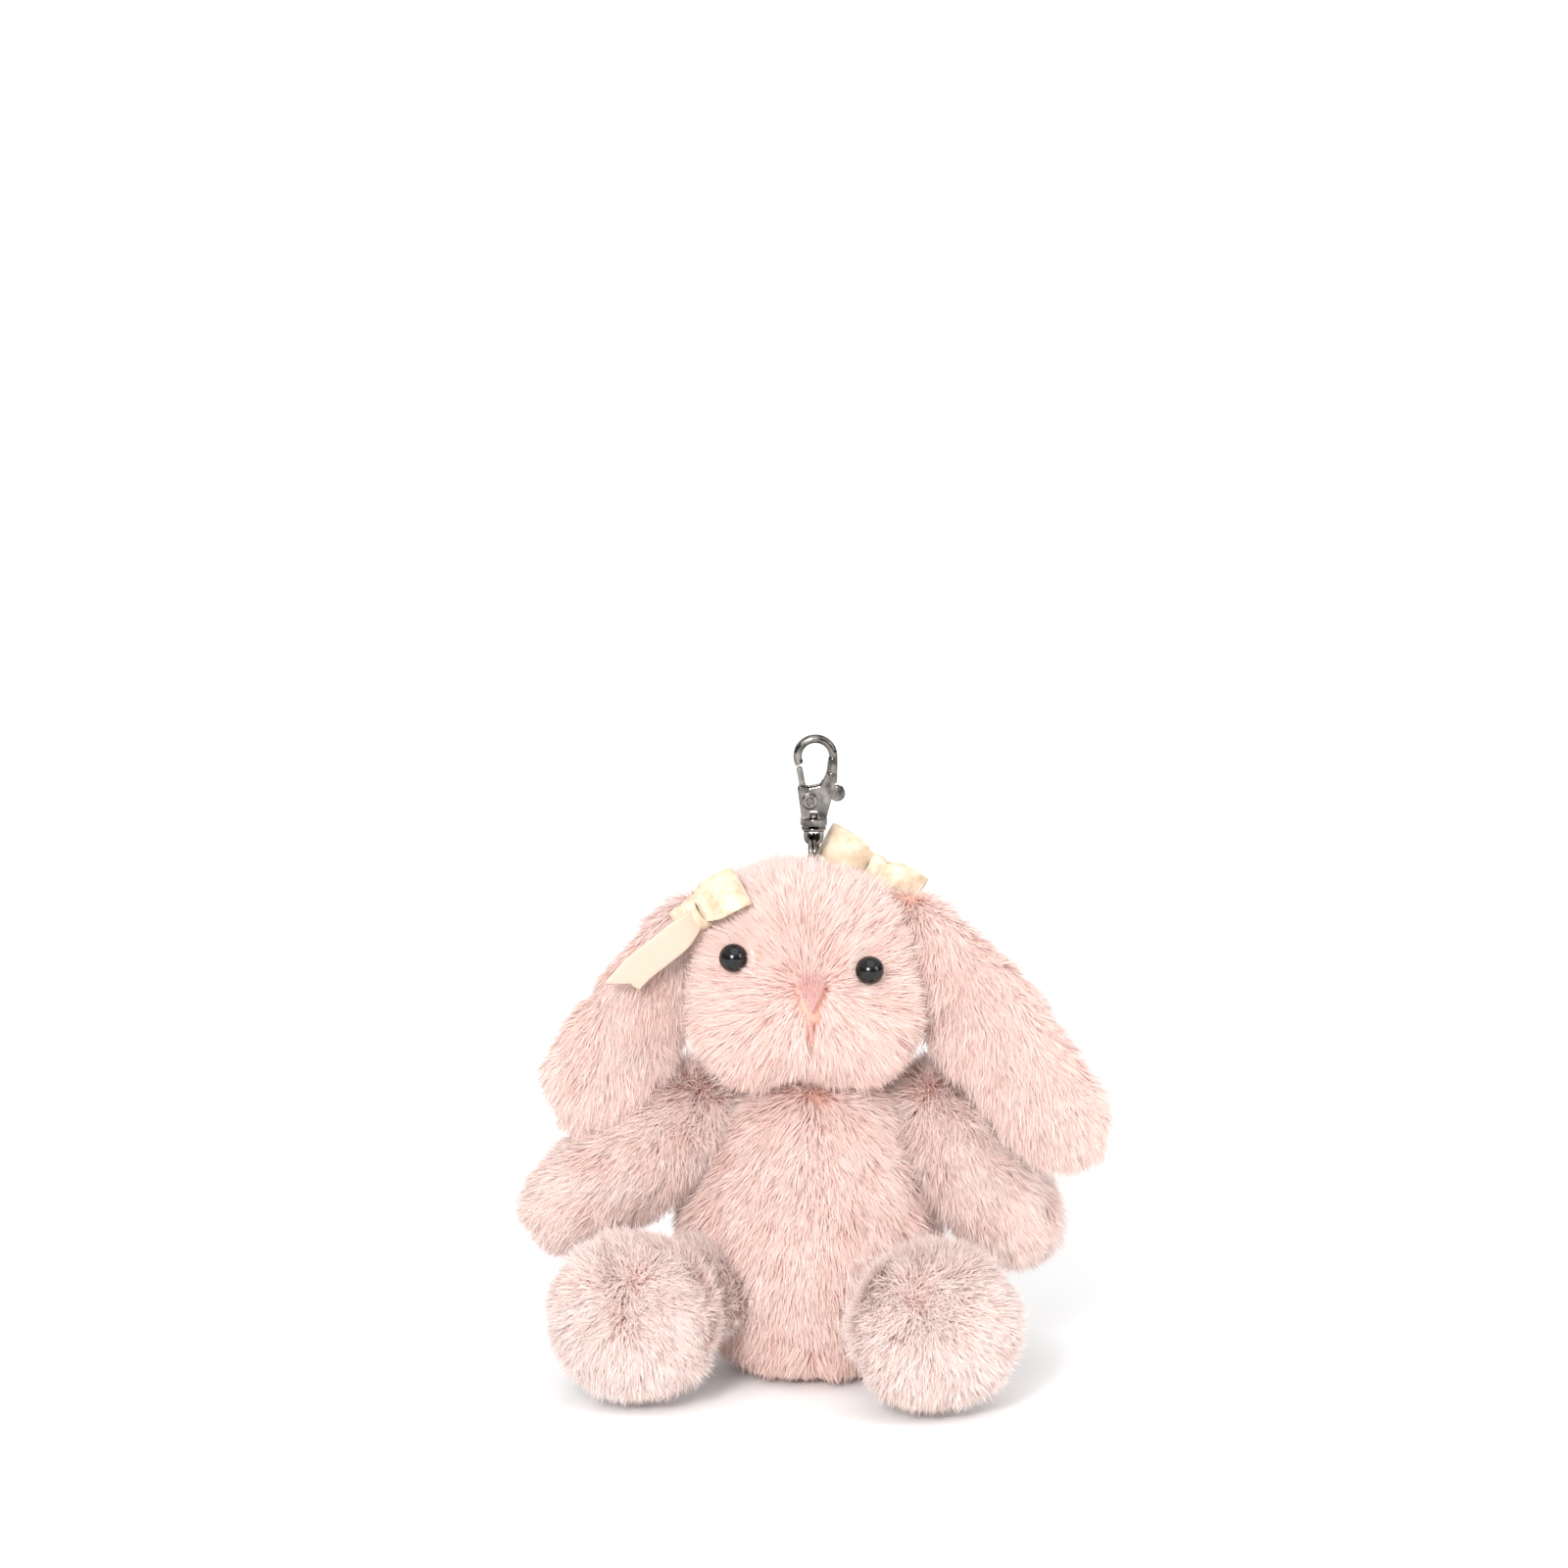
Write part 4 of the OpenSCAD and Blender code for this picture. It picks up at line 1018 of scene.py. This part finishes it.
def tieBow(side):
    look = bowLook[side]
    loops = bmesh.new()
    for direction, length, width in look["loops"]:
        puff = 0.22 * length + 0.8
        points = [(0.4, -0.5, 0), (0.3 * length, -puff * 0.8, 0.3), (0.62 * length, -puff, 0.2),
                  (0.92 * length, -puff * 0.72, 0), (length, 0, 0), (0.92 * length, puff * 0.7, 0),
                  (0.6 * length, puff * 0.85, 0), (0.3 * length, puff * 0.6, 0), (0.4, 0.5, 0)]
        path = [Vector((direction * p.x, p.y, p.z)) for p in smoothPath(points, 33)]
        widths = []
        for p in path:
            spread = min(1, abs(p.x) / (0.55 * length))
            widths.append(4.2 + (width - 4.2) * spread ** 0.7)
        # pinched folds fan out of the knot
        shape = ribbonShape(path, widths, [(0, 0, 1)] * len(path), rows=8)
        for vert in shape.verts:
            pinch = math.exp(-abs(vert.co.x) / (0.35 * length))
            vert.co.y += math.sin(vert.co.z * 1.9) * 0.7 * pinch
        addShape(loops, shape, knotFrame(look, look["turn"]))
    finishRibbon(newPiece(side + "BowLoops", loops, finishes["velvet"], "head",
                          [side + "_bow_loops"]))

    knot = bmesh.new()
    band = 4.6
    ring = [Vector((0, 3.0 * math.sin(a), 4.3 * math.cos(a))) for a in np.linspace(0, 2 * math.pi, 25)]
    shape = ribbonShape(ring, [band] * 25, [(1, 0, 0)] * 25, rows=6)
    bmesh.ops.remove_doubles(shape, verts=shape.verts, dist=0.01)
    for vert in shape.verts:
        vert.co.y *= 1 + 0.1 * math.cos(vert.co.x * 2.4)
        vert.co.z *= 1 - 0.05 * abs(vert.co.x)
    addShape(knot, shape, knotFrame(look, look["turn"]))
    finishRibbon(newPiece(side + "BowKnot", knot, finishes["velvet"], "head",
                          [side + "_bow_knot"]))

    reach = look["tail"]
    tail = bmesh.new()
    points = [(0.5, -2.2, 0), (4, -3.9, 0.2), (0.4 * reach + 2, -4.3, 0), (0.75 * reach + 2, -3.4, -0.4),
              (reach + 2.5, -3.6, 0)]
    path = smoothPath(points, 25)
    widths = [4.4 + (bowLook["width"] - 4.4) * min(1, p.x / 7) for p in path]
    shape = ribbonShape(path, widths, [(0, 0.12, 1)] * 25, cut=-4.2 if side == "left" else 2.0, rows=8)
    drop = Matrix.Rotation(math.radians(look["tailDrop"]), 4, "Y")
    addShape(tail, shape, knotFrame(look, look["tailTurn"]) @ drop)
    finish = finishes["satin"] if side == "left" else finishes["velvet"]
    finishRibbon(newPiece(side + "BowTail", tail, finish, "head", [side + "_bow_tails"]))


tieBow("left")
tieBow("right")


def sewHangingLoop():
    low, high = (Vector(c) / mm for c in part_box("hanging_loop"))
    middle = (low + high) / 2
    half = (high.x - low.x) / 2 - 0.4
    crest = high.z - half - 0.4
    path = []
    for t in np.linspace(0, 0.95, 8):
        path.append(Vector((middle.x - half, middle.y, low.z + (crest - low.z) * t)))
    for a in np.linspace(0, math.pi, 17):
        path.append(Vector((middle.x - half * math.cos(a), middle.y, crest + half * math.sin(a))))
    for t in np.linspace(0.05, 1, 8):
        path.append(Vector((middle.x + half, middle.y, crest + (low.z - crest) * t)))
    shape = ribbonShape(path, [high.y - low.y] * len(path), [(0, 1, 0)] * len(path), rows=4)
    ribbon = newPiece("hangingRibbon", shape, finishes["velvet"], "head", ["hanging_loop"])
    finishRibbon(ribbon, 0.7)


sewHangingLoop()
print("ribbons tied")

# metal fittings

ringLook = {"wire": 1.1, "turns": 2, "steps": 56}


def bendRing(look):
    low, high = (Vector(c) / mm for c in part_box("split_ring"))
    middle = (low + high) / 2
    radius = (high.z - low.z) / 2 - look["wire"] / 2
    shape = bmesh.new()
    pitch = look["wire"] * 0.94
    centre = middle + Vector((-pitch, 0, 0))
    start = Matrix.Translation(centre + Vector((0, 0, radius))) @ Matrix.Rotation(math.radians(90), 4, "X")
    bmesh.ops.create_circle(shape, cap_ends=False, segments=12, radius=look["wire"] / 2, matrix=start)
    turns = look["turns"] - 0.06
    steps = int(look["steps"] * turns)
    bmesh.ops.spin(shape, geom=shape.verts[:] + shape.edges[:], cent=centre, axis=(1, 0, 0),
                   dvec=(pitch * turns / steps, 0, 0), angle=math.radians(360) * turns, steps=steps,
                   use_merge=False, use_duplicate=False)
    bmesh.ops.remove_doubles(shape, verts=shape.verts, dist=0.005)
    ends = [e for e in shape.edges if e.is_boundary]
    bmesh.ops.holes_fill(shape, edges=ends, sides=0)
    across = sum((v.co.x for v in shape.verts)) / len(shape.verts)
    bmesh.ops.translate(shape, vec=(middle.x - across, 0, 0), verts=shape.verts)
    bmesh.ops.recalc_face_normals(shape, faces=shape.faces)
    newPiece("splitRingWire", shape, finishes["nickel"], "ring", ["split_ring"])


bendRing(ringLook)

castLook = {"voxel": 0.15, "smooth": 3}


def castPiece(name, node, finish, body):
    # a merged copy whose edges are softened as a tumbled casting's are
    copy = frame["nodes"][node].data.copy()
    shape = bmesh.new()
    shape.from_mesh(copy)
    bpy.data.meshes.remove(copy)
    bmesh.ops.remove_doubles(shape, verts=shape.verts, dist=1e-6)
    bmesh.ops.scale(shape, vec=(1000, 1000, 1000), verts=shape.verts)
    piece = newPiece(name, shape, finish, body, [node])
    cast = piece.modifiers.new("cast", "REMESH")
    cast.mode = "VOXEL"
    cast.voxel_size = castLook["voxel"] * mm
    applied(piece)
    soft = piece.modifiers.new("tumbled", "SMOOTH")
    soft.factor = 0.5
    soft.iterations = castLook["smooth"]
    applied(piece)
    piece.data.materials.clear()
    piece.data.materials.append(finish)
    piece.data.shade_smooth()
    print(name, "cast,", len(piece.data.polygons), "faces")


castPiece("claspCasting", "clasp_body", finishes["nickel"], "clasp")
castPiece("leverCasting", "clasp_lever", finishes["nickel"], "lever")
castPiece("swivelCasting", "swivel_eye", finishes["nickel"], "eye_link")

# CAD nodes that stay as they are
kept = {
    "left_eye": "eye", "right_eye": "eye", "left_eye_washer": "washer", "right_eye_washer": "washer",
    "pellet_pouch": "pouch", "lever_rivet": "nickel", "lever_spring": "spring",
}
for node, finish in kept.items():
    solid = frame["nodes"][node]
    if not solid.material_slots:
        solid.data.materials.append(None)
    for slot in solid.material_slots:
        slot.material = finishes[finish]
print("fittings done")
